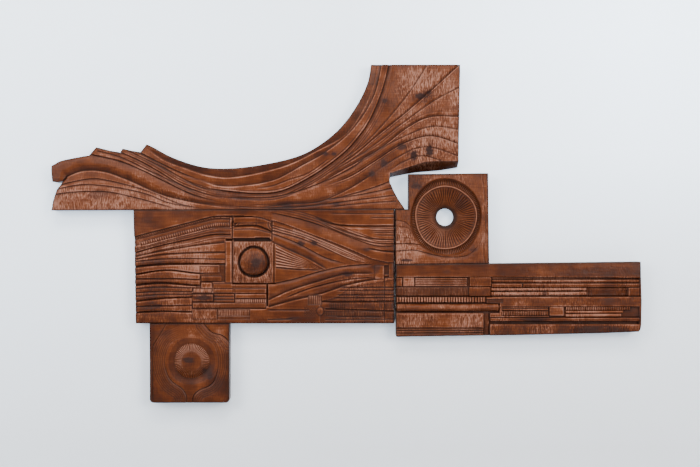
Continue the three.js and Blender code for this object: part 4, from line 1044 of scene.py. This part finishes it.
def carve_plank(step):
    """The long plank: rows of strips, bars, dentils and flutes."""
    r = Relief((147, 889, -312, -82), step)
    # Each sunk field's sides and its height
    for left, right, low, high, height in (
        (140, 367, -190, -129, LOW), (367, 437, -192, -129, LOW + 2), (140, 421, -209, -188, LOW),
        (140, 462, -240, -209, LOW - 3), (413, 431, -320, -238, LOW - 2), (140, 414, -320, -283, FACE - 4),
        (435, 882, -189, -134, LOW), (467, 611, -247, -218, LOW), (609, 882, -252, -218, LOW),
        (431, 882, -272, -251.5, FACE - 4), (431, 882, -273, -264, BED), (727, 846, -191, -163, BED),
    ):
        r.field([(left, low), (right, low), (right, high), (left, high)], height, 0.25)
    # Each strip or block: its sides, its height and its tilt
    for left, right, low, high, height, tilt in (
        (150, 168, -158, -133, 39, 1), (171, 204, -158, -131.5, 40, 2), (371, 435, -158, -131, 44, 2),
        (369, 433, -188, -160.5, 40.5, 1), (150, 367, -187, -161, 38, 0), (150, 419, -206, -191, 41, 0),
        (437, 881, -146.5, -138.5, 39, 3), (437, 528, -161, -150, 39, 2), (531, 881, -161, -150, 38.5, 3),
        (611, 653, -246.5, -220, 41, 0), (848, 881, -189, -163, 40, 2), (467, 607, -246, -233, 40, 0),
        (659, 854, -230, -220, 40, 0), (434, 881, -263, -253, 38.5, 2), (422, 470, -208, -197, 38, 0),
    ):
        r.block(left, right, low, high, height, tilt)
    for k in range(4):
        r.block(207, 363, -138.5 - k * 6.4, -133.5 - k * 6.4, 38.5, 1.0, 0, 1.0)
    for k, z in enumerate((-221.5, -228)):
        r.block(467, 607, z - 2.6, z + 2.6, 38.5, 1, 0, 1.0)
    r.teeth(150, 367, -187, -161, 4.3, 3.2, 0.5, 101, 0.8)
    r.teeth(150, 419, -207, -190, 8.1, 5.5, 0.3, 103)
    r.teeth(467, 607, -247, -232, 5.2, 4.0, 0.4, 105)
    r.teeth(659, 854, -231, -219, 5.4, 4.2, 0.36, 107)
    r.bar([(152, -222), (305, -222.5), (458, -221)], 23, LOW - 3, 12.5)
    r.bar([(434, -168), (722, -167)], 9, LOW, 8)
    r.bar([(434, -181), (722, -180)], 12, LOW, 9)
    r.bar([(659, -235.5), (833, -235)], 8, LOW, 7)
    r.bar([(659, -246), (827, -245)], 10, LOW, 8)
    scoop = (r.x > 729) & (r.x < 845) & (r.z > -190) & (r.z < -165)
    t = np.clip((r.z + 190) / 25, 0, 1)
    r.h = np.where(scoop, BED + 3 * (2 * t - 1) ** 2 + 3 * t, r.h)
    r.stain = np.where(scoop, 0.1, r.stain)
    for points, deep, up, down in (
        ([(140, -291), (412, -290.5)], 3.5, 2.6, 4), ([(140, -299), (412, -298)], 3.5, 2.6, 4),
        ([(140, -283), (412, -283)], 4, 2.6, 4), ([(140, -188.5), (437, -188)], 4, 2.6, 3),
        ([(431, -131), (884, -134)], 5, 3, 3), ([(431, -189), (884, -188)], 4, 3, 4),
        ([(413, -320), (413, -240)], 4, 2.6, 2.6), ([(431, -320), (431, -240)], 4, 2.6, 2.6),
        ([(431, -252), (884, -251.5)], 4, 2.6, 3),
    ):
        r.groove(points, deep, up, down, (0, 0), 1.2, 0.95)
    bars = (np.abs(r.z + 174) < 13) & (r.x > 434) & (r.x < 724)
    rough = ((r.z < -273) & (r.x > 431)) | ((r.z < -241) & (r.z > -281) & (r.x < 410)) | bars
    high = r.z > -128
    r.ripple(0.7 + 0.7 * rough - 0.5 * high, 6.2, 0.65, 0.04, 111)
    r.patches(((250, -115, 120, 14, 0.3), (600, -110, 90, 16, 0.2), (760, -115, 120, 16, -0.5),
               (330, -200, 110, 8, 0.5), (330, -222, 90, 10, 0.5), (260, -262, 120, 20, 0.3),
               (560, -180, 130, 10, 0.8), (690, -142, 120, 8, 0.5), (740, -245, 120, 9, 0.8),
               (560, -288, 100, 12, 0.4), (760, -290, 110, 14, -0.9), (560, -256, 60, 8, -0.8),
               (640, -284, 240, 22, -0.7), (250, -215, 110, 20, -0.3), (820, -200, 60, 60, -0.6),
               (530, -150, 90, 40, -0.3), (200, -145, 50, 12, 0.4), (400, -145, 30, 12, 0.4)))
    r.knots(((596, -178, 8, 5, 0.7), (560, -258, 22, 4, 0.9), (720, -290, 26, 8, 0.6),
             (300, -115, 12, 5, 0.4), (800, -287, 18, 6, 0.5)))
    return r


DISC = (-465.0, -383.0)  # the middle of the lower block's disc


def block_outline():
    """The lower block's outline; its lower corners are rounded."""
    return [(-591, -270), (-590, -499), (-587, -505), (-581, -508), (-359, -507.5), (-354, -504),
            (-351.5, -498), (-351, -270)]


DROP_LEFT = [(-479, -514), (-480, -487), (-492, -467), (-528, -439), (-546, -383), (-527, -328),
             (-485, -306)]
DROP_RIGHT = [(-463, -514), (-459, -487), (-444, -471), (-402, -449), (-384, -383), (-401, -328),
              (-445, -306)]


def carve_block(step):
    """The lower block: a fluted disc with flow lines round it in the shape of a drop."""
    r = Relief((-593, -349, -510, -268), step)
    r.h += 1.2 * r.noise(90, 90, 121)
    r.groove(DROP_LEFT, 3.5, 7, 2.6, (0, 200), 1.5, 0.85)
    r.groove(DROP_RIGHT, 3.5, 2.6, 7, (0, 200), 1.5, 0.9)
    r.reeds(DROP_LEFT, (6, 12, 17.5, 23, 29, 35), 0.8, 2.4, (0, 60), 0.6)
    r.reeds(DROP_RIGHT, (-7, -13, -19, -25), 0.8, 2.4, (0, 60), 0.6)
    left_flow = [(-538, -266), (-564, -311), (-581, -341), (-582, -415), (-580, -514)]
    corner_flow = [(-432, -266), (-404, -296), (-372, -306), (-346, -332)]
    r.groove(left_flow, 3.5, 2.6, 7, (0, 0), 1.4, 0.5)
    r.groove(corner_flow, 5, 2.6, 10, (0, 0), 1.3, 0.7)
    r.reeds(corner_flow, (-9, -17, -25), 1.3, 2.6, (0, 0), 0.4)
    disc = 53
    well = 79
    plain_middle = 27
    dx = r.x - DISC[0]
    dz = r.z - DISC[1]
    angle = np.arctan2(dz, dx)
    d = np.hypot(dx, dz) / (1 + 0.02 * np.sin(3 * angle + 2))
    sway = 0.4 * noise(angle * 30 + 200, d * 0, 8, 8, 123)
    line = np.abs(np.sin(angle * 29 + sway * 2))
    bottom = np.minimum(LOW + 4 + 4 * soft((d - disc) / 26), r.h)
    cone = 43.5 - 6 * np.clip((d - plain_middle) / 26, 0, 1) ** 1.5
    cone -= 4.4 * (1 - line) ** 1.2 * soft((d - 26) / 6)
    r.h = np.where(d < well, np.where(d < disc, cone, bottom), r.h)
    r.tool *= np.where(d < 85, 0.3, 1.0)
    r.cut = np.where(d < 62, 0, r.cut)
    flutes = soft((d - plain_middle) / 5)
    # A painted shadow round the edge of the disc, heaviest at its lower left.
    ring = 0.6 * np.clip(1 - np.abs(d - 54) / 5, 0, 1) * (0.55 + 0.45 * np.sin(angle + 3.6))
    dark = np.maximum(0.9 * (1 - line) ** 1.6 * flutes * (d < disc), ring)
    r.stain = np.where(d < 60, dark, r.stain)
    # Painted light on the ridges of the flutes in the upper half of the disc.
    r.tone += (d < disc) * (1.1 * line * flutes * soft((dz + 30) / 50) - 0.1)
    # The block paler overall, and the well round the disc painted darker as shade.
    r.tone += 0.35 - 0.7 * (d > disc) * (d < 70)
    r.ripple(0.35 + 0 * d, 6.4, 0.5, -0.2, 125)
    r.patches(((-465, -300, 80, 30, 0.5), (-385, -470, 50, 40, -0.9), (-585, -380, 16, 130, -0.5),
               (-356, -400, 14, 120, -0.5), (-560, -480, 50, 30, -0.4), (-372, -285, 24, 12, 0.3),
               (-430, -450, 22, 30, 0.5), (-500, -400, 20, 30, 0.2)))
    r.knots(((-474, -379, 15, 7, 1), (-410, -427, 9, 12, 1), (-425, -412, 7, 8, 0.8),
             (-560, -300, 14, 8, 0.35)))
    return r


# Finishes


def node_group(name, inputs, outputs):
    """A shader group with named sockets; returns it, the sockets it reads and the sockets it fills."""
    group = bpy.data.node_groups.new(name, "ShaderNodeTree")
    for label in inputs:
        kind = "NodeSocketVector" if label == "Vector" else "NodeSocketFloat"
        group.interface.new_socket(name=label, in_out="INPUT", socket_type=kind)
    for label in outputs:
        group.interface.new_socket(name=label, in_out="OUTPUT", socket_type="NodeSocketFloat")
    start = group.nodes.new("NodeGroupInput")
    end = group.nodes.new("NodeGroupOutput")
    return group, start.outputs, end.inputs


def add(tree, kind, links=(), **values):
    """Adds a node, sets its values and inputs, and links its inputs from other sockets."""
    node = tree.nodes.new(kind)
    for key, value in values.items():
        if key.startswith("in_"):
            name = key[3:].replace("_", " ")
            socket = node.inputs[int(name)] if name.isdigit() else node.inputs[name]
            socket.default_value = value
        else:
            setattr(node, key, value)
    for index, source in dict(links).items():
        tree.links.new(source, node.inputs[index])
    return node


def math_node(tree, operation, *values, clamp=False):
    """One arithmetic step on sockets or numbers."""
    node = tree.nodes.new("ShaderNodeMath")
    node.operation = operation
    node.use_clamp = clamp
    for index, value in enumerate(values):
        if isinstance(value, (int, float)):
            node.inputs[index].default_value = value
        else:
            tree.links.new(value, node.inputs[index])
    return node.outputs[0]


def sum_of(tree, total, parts):
    """Adds up a socket and more sockets, each of them times its share."""
    for source, share in parts:
        total = math_node(tree, "ADD", total, math_node(tree, "MULTIPLY", source, share))
    return total


def attribute(tree, name):
    """A value that is kept at the points of the mesh."""
    return add(tree, "ShaderNodeAttribute", attribute_name=name).outputs["Fac"]


def mix_color(tree, factor, a, b):
    """Mixes two colours, each a socket or a tuple."""
    node = tree.nodes.new("ShaderNodeMix")
    node.data_type = "RGBA"
    for index, value in ((0, factor), (6, a), (7, b)):
        if isinstance(value, tuple):
            node.inputs[index].default_value = (*value, 1.0)
        else:
            tree.links.new(value, node.inputs[index])
    return node.outputs[2]


def grain_group():
    """Long streaks of grain that follow a board's own grain value."""
    g, given, made = node_group("Long grain", ("Vector", "Grain", "Size"), ("Streak", "Pores", "Cloud"))
    split = add(g, "ShaderNodeSeparateXYZ", {0: given["Vector"]})
    along = math_node(g, "MULTIPLY", split.outputs[0], 0.06)
    deep = math_node(g, "MULTIPLY", split.outputs[1], 0.6)
    place = add(g, "ShaderNodeCombineXYZ", {0: along, 1: deep, 2: given["Grain"]}).outputs[0]
    fine = math_node(g, "MULTIPLY", given["Size"], 5.0)
    for label, links, values in (
        ("Streak", {"Vector": place, "Scale": given["Size"]}, {"in_Detail": 3.0, "in_Roughness": 0.6}),
        ("Pores", {"Vector": place, "Scale": fine}, {"in_Detail": 2.0}),
        ("Cloud", {"Vector": given["Vector"]}, {"in_Scale": 30.0, "in_Detail": 5.0}),
    ):
        texture = add(g, "ShaderNodeTexNoise", links, **values)
        g.links.new(texture.outputs[0], made[label])
    return g


def tool_group():
    """Upright marks of a gouge: ridges between shallow scoops, with a painted sheen on the ridges."""
    g, given, made = node_group("Gouge marks", ("Vector", "Amount"), ("Height", "Mark sheen"))
    place = add(g, "ShaderNodeMapping", {"Vector": given["Vector"]})
    place.inputs["Rotation"].default_value = (0, 0.10, 0)
    place.inputs["Scale"].default_value = (1.3, 0.2, 0.16)
    texture = add(g, "ShaderNodeTexNoise", {"Vector": place.outputs[0]}, in_Scale=250.0, in_Detail=1.5,
                  in_Roughness=0.4)
    centred = math_node(g, "MULTIPLY_ADD", texture.outputs[0], 2.0, -1.0)
    ridge = math_node(g, "SUBTRACT", 1.0, math_node(g, "ABSOLUTE", centred))
    for label, sharpness in (("Height", 3.0), ("Mark sheen", 7.0)):
        sharp = math_node(g, "POWER", ridge, sharpness, clamp=True)
        g.links.new(math_node(g, "MULTIPLY", sharp, given["Amount"]), made[label])
    return g


def stain_wear_light_group():
    """Dark in the cuts (staining, and painted shade in small hollows), worn ridges with painted highlights,
    knots, and painted shade in wide recesses: one mask for each.
    """
    g, given, made = node_group("Stain, wear and painted light", ("Streak",), ("Dark", "Rubbed and highlit", "Knot", "Shade"))
    hollow = attribute(g, "hollow")
    broken = math_node(g, "MULTIPLY_ADD", given["Streak"], 0.4, 0.8)
    in_cuts = math_node(g, "MULTIPLY", attribute(g, "stain"), broken)
    # Painted shade in small hollows.
    sunk = math_node(g, "MULTIPLY", hollow, 0.55, clamp=True)
    dark = math_node(g, "MAXIMUM", in_cuts, sunk)
    g.links.new(math_node(g, "MULTIPLY", dark, 0.96, clamp=True), made["Dark"])
    g.links.new(math_node(g, "MULTIPLY", hollow, -1.0, clamp=True), made["Rubbed and highlit"])
    g.links.new(attribute(g, "knot"), made["Knot"])
    g.links.new(math_node(g, "MULTIPLY_ADD", attribute(g, "wide_hollow"), -0.5, 0.5), made["Shade"])
    return g


def group_node(tree, name, build, links):
    """A node that holds a shared group, which is built on its first use."""
    node = tree.nodes.new("ShaderNodeGroup")
    node.node_tree = bpy.data.node_groups.get(name) or build()
    for label, source in links.items():
        tree.links.new(source, node.inputs[label])
    return node


def carved_wood(name, finish, tone):
    """Stained, lacquered softwood for one board; the tone makes a board paler or darker. Its colour also
    holds painted sheen, highlights and shade.
    """
    material = bpy.data.materials.new(name)
    material.use_nodes = True
    tree = material.node_tree
    tree.nodes.clear()
    out = add(tree, "ShaderNodeOutputMaterial")
    shader = add(tree, "ShaderNodeBsdfPrincipled")
    tree.links.new(shader.outputs[0], out.inputs[0])
    place = add(tree, "ShaderNodeTexCoord").outputs["Object"]
    grain_links = {"Vector": place, "Grain": attribute(tree, "grain")}
    grain = group_node(tree, "Long grain", grain_group, grain_links)
    grain.inputs["Size"].default_value = GRAIN_SIZE
    streak = grain.outputs["Streak"]
    pores = grain.outputs["Pores"]
    stain_wear_light = group_node(tree, "Stain, wear and painted light", stain_wear_light_group, {"Streak": streak})
    dark = stain_wear_light.outputs["Dark"]
    knot = stain_wear_light.outputs["Knot"]
    tool_links = {"Vector": place, "Amount": attribute(tree, "tool")}
    marks = group_node(tree, "Gouge marks", tool_group, tool_links)
    # The level holds painted light and shade as well as grain: the tone, the sheen painted on tool marks
    # and the highlights painted on ridges.
    level = sum_of(
        tree,
        math_node(tree, "MULTIPLY_ADD", streak, 0.5, tone - 0.695),
        (
            (attribute(tree, "tone"), 0.24),
            (grain.outputs["Cloud"], 0.6),
            (marks.outputs["Mark sheen"], 0.55),
            (stain_wear_light.outputs["Rubbed and highlit"], 0.35),
        ),
    )
    ramp = add(tree, "ShaderNodeValToRGB", {0: level})
    stops = ramp.color_ramp.elements
    stops[0].position = 0.0
    stops[0].color = (*finish.shadow, 1)
    stops[1].position = 1.0
    stops[1].color = (*finish.sheen_and_rubbed, 1)
    stops.new(0.32).color = (*finish.deep, 1)
    stops.new(0.68).color = (*finish.warm, 1)
    # Painted shade: wide recesses are mixed towards the colour of the cuts.
    shade = ramp_between(tree, stain_wear_light.outputs["Shade"], 0.1, 0.55, 0.5, 1.0)
    dimmed = mix_color(tree, shade, tuple(finish.cut), ramp.outputs[0])
    knotted = mix_color(tree, knot, dimmed, tuple(finish.knot))
    # The dark of the cuts: staining, and painted shade in small hollows.
    stained = mix_color(tree, dark, knotted, tuple(finish.cut))
    tree.links.new(stained, shader.inputs["Base Color"])
    satin = math_node(tree, "MULTIPLY_ADD", dark, 0.05, finish.gloss)
    rough = sum_of(tree, satin, ((pores, 0.08), (knot, 0.25)))
    tree.links.new(rough, shader.inputs["Roughness"])
    shader.inputs["Specular IOR Level"].default_value = 0.17
    fine = math_node(tree, "MULTIPLY", pores, 0.25)
    relief = sum_of(tree, fine, ((marks.outputs["Height"], 1.9), (streak, 0.5)))
    bump = add(tree, "ShaderNodeBump", {"Height": relief}, in_Strength=0.8, in_Distance=0.001)
    tree.links.new(bump.outputs[0], shader.inputs["Normal"])
    return material


def backdrop_glow(tree):
    """Light of the wall itself: more at the upper right, none behind the gap between boards."""
    place = add(tree, "ShaderNodeTexCoord").outputs["Object"]
    split = add(tree, "ShaderNodeSeparateXYZ", {0: place})
    across = split.outputs[0]
    up = split.outputs[1]
    rise = ramp_between(tree, up, -1.25, 0.0, 0.05, 1.35)
    side = ramp_between(tree, across, 0.0, 0.9, 1.0, 2.2)
    high = ramp_between(tree, up, -0.75, -0.35, 0.0, 1.0)
    left = ramp_between(tree, across, -1.0, 0.0, 0.22, 0.0)
    lift = math_node(tree, "MULTIPLY", math_node(tree, "SUBTRACT", side, 1.0), high)
    glow = math_node(tree, "MULTIPLY", rise, math_node(tree, "ADD", lift, 1.0))
    glow = math_node(tree, "ADD", glow, left)
    near = math_node(tree, "COMPARE", across, *GAP)
    level = math_node(tree, "COMPARE", up, *GAP_HEIGHT)
    gap = math_node(tree, "MULTIPLY", near, level)
    return math_node(tree, "MULTIPLY", glow, math_node(tree, "SUBTRACT", 1.0, gap))


def ramp_between(tree, value, start, end, low, high):
    """A value that runs from low to high while another runs from start to end."""
    node = add(tree, "ShaderNodeMapRange", {0: value}, in_1=start, in_2=end, in_3=low, in_4=high)
    return node.outputs[0]


def stage_paint(name, color, roughness):
    """Matt, faintly mottled paint for the wall and the floor."""
    material = bpy.data.materials.new(name)
    material.use_nodes = True
    tree = material.node_tree
    shader = tree.nodes["Principled BSDF"]
    mottle = add(tree, "ShaderNodeTexNoise", in_Scale=3.0)
    mottled = mix_color(tree, mottle.outputs[0], color, tuple(c * 0.99 for c in color))
    tree.links.new(mottled, shader.inputs["Base Color"])
    shader.inputs["Roughness"].default_value = roughness
    return material


def glow_from_front(material):
    """Makes paint glow a little at the front and lets a view from behind through."""
    tree = material.node_tree
    shader = tree.nodes["Principled BSDF"]
    tree.links.new(backdrop_glow(tree), shader.inputs["Emission Strength"])
    shader.inputs["Emission Color"].default_value = (0.62, 0.8, 1.0, 1)
    facing = add(tree, "ShaderNodeNewGeometry").outputs["Backfacing"]
    clear = add(tree, "ShaderNodeBsdfTransparent").outputs[0]
    mix = add(tree, "ShaderNodeMixShader", {0: facing, 1: shader.outputs[0], 2: clear})
    tree.links.new(mix.outputs[0], tree.nodes["Material Output"].inputs[0])


# Add-on


def colour(name, value, description):
    """A colour property."""
    return bpy.props.FloatVectorProperty(
        name=name, description=description, subtype="COLOR", size=3, min=0, max=1, default=value
    )


class PanelFinish(bpy.types.PropertyGroup):
    """The colours of the wood, from darkest to palest; the ramp between them also paints light and shade,
    and the palest colour is painted sheen as well as worn lacquer.
    """

    shadow: colour("Darkest wood", (0.024, 0.0085, 0.0055), "Colour of the darkest patches")
    deep: colour("Deep stain", (0.052, 0.0115, 0.003), "Colour of the dark streaks")
    warm: colour("Warm stain", (0.122, 0.030, 0.0070), "Colour of the plain wood")
    # Painted sheen: this colour is the highlight of the lacquer as well as worn lacquer.
    sheen_and_rubbed: colour("Rubbed wood", (0.285, 0.122, 0.078), "Colour where the lacquer is rubbed")
    # This colour also paints shade, in wide recesses and in the cuts.
    cut: colour("Cuts", (0.013, 0.0036, 0.0014), "Colour of the stain that lies in the cuts")
    knot: colour("Knots", (0.026, 0.009, 0.0065), "Colour of the knots")
    gloss: bpy.props.FloatProperty(
        name="Roughness", description="Roughness of the lacquer", default=0.33, min=0.05, max=1.0
    )


def spacing(name, board, value):
    """A property for the spacing of a board's grid."""
    return bpy.props.FloatProperty(
        name=name, description=f"Spacing of the {board}'s grid, in millimetres", default=value, min=0.5
    )


class PanelCarving(bpy.types.PropertyGroup):
    """How finely the boards are carved."""

    wing_board: spacing("Wing grid", "upper board", 1.74)
    centre_board: spacing("Centre grid", "centre board", 1.70)
    rosette_board: spacing("Rosette grid", "rosette board", 0.90)
    long_plank: spacing("Plank grid", "long plank", 1.33)
    lower_block: spacing("Block grid", "lower block", 0.86)


def carve_board(context, name, carve, outline, wood, tone, hole=None):
    step = getattr(context.scene.panel_carving, name) * 1.0
    relief = carve((step, step))
    make_board(name, relief, outline, carved_wood(wood, context.scene.panel_finish, tone), hole)
    return {"FINISHED"}


class WingBoard(bpy.types.Operator):
    """Carve the upper swept board"""

    bl_idname = "carved_panel.wing"
    bl_label = "Wing board"

    def execute(self, context):
        return carve_board(context, "wing_board", carve_wing, wing_outline(), "Wing wood", 0.62)


class CentreBoard(bpy.types.Operator):
    """Carve the centre board with the eye"""

    bl_idname = "carved_panel.centre"
    bl_label = "Centre board"

    def execute(self, context):
        return carve_board(context, "centre_board", carve_centre, centre_outline(), "Centre wood", 0.56)


class RosetteBoard(bpy.types.Operator):
    """Carve the pierced rosette board"""

    bl_idname = "carved_panel.rosette"
    bl_label = "Rosette board"

    def execute(self, context):
        hole = circle(ROUND[0] - 1, ROUND[1] + 1, HOLE, 72)
        outline = rosette_outline()
        return carve_board(context, "rosette_board", carve_rosette, outline, "Rosette wood", 0.55, hole)


class LongPlank(bpy.types.Operator):
    """Carve the long plank of stripwork"""

    bl_idname = "carved_panel.plank"
    bl_label = "Long plank"

    def execute(self, context):
        return carve_board(context, "long_plank", carve_plank, plank_outline(), "Plank wood", 0.485)


class LowerBlock(bpy.types.Operator):
    """Carve the hanging block with the fluted disc"""

    bl_idname = "carved_panel.block"
    bl_label = "Lower block"

    def execute(self, context):
        return carve_board(context, "lower_block", carve_block, block_outline(), "Block wood", 0.5)


def area_light(name, place, target, size, power, tint):
    """A rectangular softbox that points at a place."""
    data = bpy.data.lights.new(name, "AREA")
    data.shape = "RECTANGLE"
    data.size = size[0]
    data.size_y = size[1]
    data.energy = power
    data.color = tint
    light = bpy.data.objects.new(name, data)
    bpy.context.scene.collection.objects.link(light)
    light.location = place
    aim = np.subtract(target, place)
    light.rotation_euler = (
        math.atan2(math.hypot(aim[0], aim[1]), -aim[2]),
        0.0,
        math.atan2(aim[1], aim[0]) - math.pi / 2,
    )
    return light


def plane(name, width, height, material):
    """A flat sheet centred on the origin, made on a bmesh grid."""
    bm = bmesh.new()
    bmesh.ops.create_grid(bm, x_segments=1, y_segments=1, size=0.5)
    bmesh.ops.scale(bm, vec=(width, height, 1), verts=bm.verts)
    mesh = bpy.data.meshes.new(name)
    bm.to_mesh(mesh)
    bm.free()
    mesh.materials.append(material)
    obj = bpy.data.objects.new(name, mesh)
    bpy.context.scene.collection.objects.link(obj)
    return obj


SOFTBOXES = (
    # name, place, what it points at, size, power, tint
    ("softbox_right", (2.3, -2.8, 0.9), (0.1, 0, 0), (1.7, 1.7), 130, (1.0, 0.99, 0.97)),
    ("softbox_left", (-2.5, -2.4, 1.0), (-0.1, 0, 0), (1.7, 1.7), 110, (0.97, 0.985, 1.0)),
    ("softbox_top", (0.0, -2.0, 2.5), (0, 0, 0), (2.8, 1.0), 110, (1.0, 1.0, 1.0)),
    ("softbox_back", (-0.8, 2.6, 1.4), (0, 0, 0), (2.0, 1.4), 90, (1.0, 0.99, 0.97)),
)


class Stage(bpy.types.Operator):
    """Set the pale wall, the floor, the lights and the camera"""

    bl_idname = "carved_panel.stage"
    bl_label = "Stage"

    def execute(self, context):
        wall_paint = stage_paint("Wall paint", (0.86, 0.885, 0.92), 0.8)
        glow_from_front(wall_paint)
        wall = plane("wall", 24, 12, wall_paint)
        wall.rotation_euler = (math.pi / 2, 0, 0)
        wall.location = (0, 0.003, 0.6)
        floor = plane("floor", 24, 16, stage_paint("Floor paint", (0.72, 0.73, 0.74), 0.6))
        floor.location = (0, 0, -2.0)
        for softbox in SOFTBOXES:
            area_light(*softbox)
        world = bpy.data.worlds.new("Studio")
        context.scene.world = world
        world.use_nodes = True
        tree = world.node_tree
        background = tree.nodes["Background"]
        background.inputs[0].default_value = (0.86, 0.9, 1.0, 1)
        seen = add(tree, "ShaderNodeLightPath").outputs["Is Camera Ray"]
        tree.links.new(math_node(tree, "MULTIPLY_ADD", seen, 0.6, 0.12), background.inputs[1])
        data = bpy.data.cameras.new("camera")
        data.sensor_width = 36
        data.lens = 51.4
        camera = bpy.data.objects.new("camera", data)
        context.scene.collection.objects.link(camera)
        camera.location = (0.011, -3.042, 0.0006)
        camera.rotation_euler = (math.pi / 2, 0, 0)
        context.scene.camera = camera
        return {"FINISHED"}


class CarvedPanelSidebar(bpy.types.Panel):
    """Lists the boards and the stage"""

    bl_idname = "VIEW3D_PT_carved_panel"
    bl_label = "Carved panel"
    bl_space_type = "VIEW_3D"
    bl_region_type = "UI"
    bl_category = "Carved panel"

    def draw(self, context):
        layout = self.layout
        for group in (context.scene.panel_finish, context.scene.panel_carving):
            for key in group.bl_rna.properties.keys():
                if key not in ("rna_type", "name"):
                    layout.prop(group, key)
        for operator in OPERATORS:
            layout.operator(operator.bl_idname)


OPERATORS = (WingBoard, CentreBoard, RosetteBoard, LongPlank, LowerBlock, Stage)
CLASSES = (PanelFinish, PanelCarving, *OPERATORS, CarvedPanelSidebar)


def register():
    for cls in CLASSES:
        bpy.utils.register_class(cls)
    bpy.types.Scene.panel_finish = bpy.props.PointerProperty(type=PanelFinish)
    bpy.types.Scene.panel_carving = bpy.props.PointerProperty(type=PanelCarving)


def unregister():
    del bpy.types.Scene.panel_carving
    del bpy.types.Scene.panel_finish
    for cls in reversed(CLASSES):
        bpy.utils.unregister_class(cls)


def main():
    register()
    bpy.ops.carved_panel.stage()
    bpy.ops.carved_panel.wing()
    bpy.ops.carved_panel.centre()
    bpy.ops.carved_panel.rosette()
    bpy.ops.carved_panel.plank()
    bpy.ops.carved_panel.block()


if __name__ == "__main__":
    main()
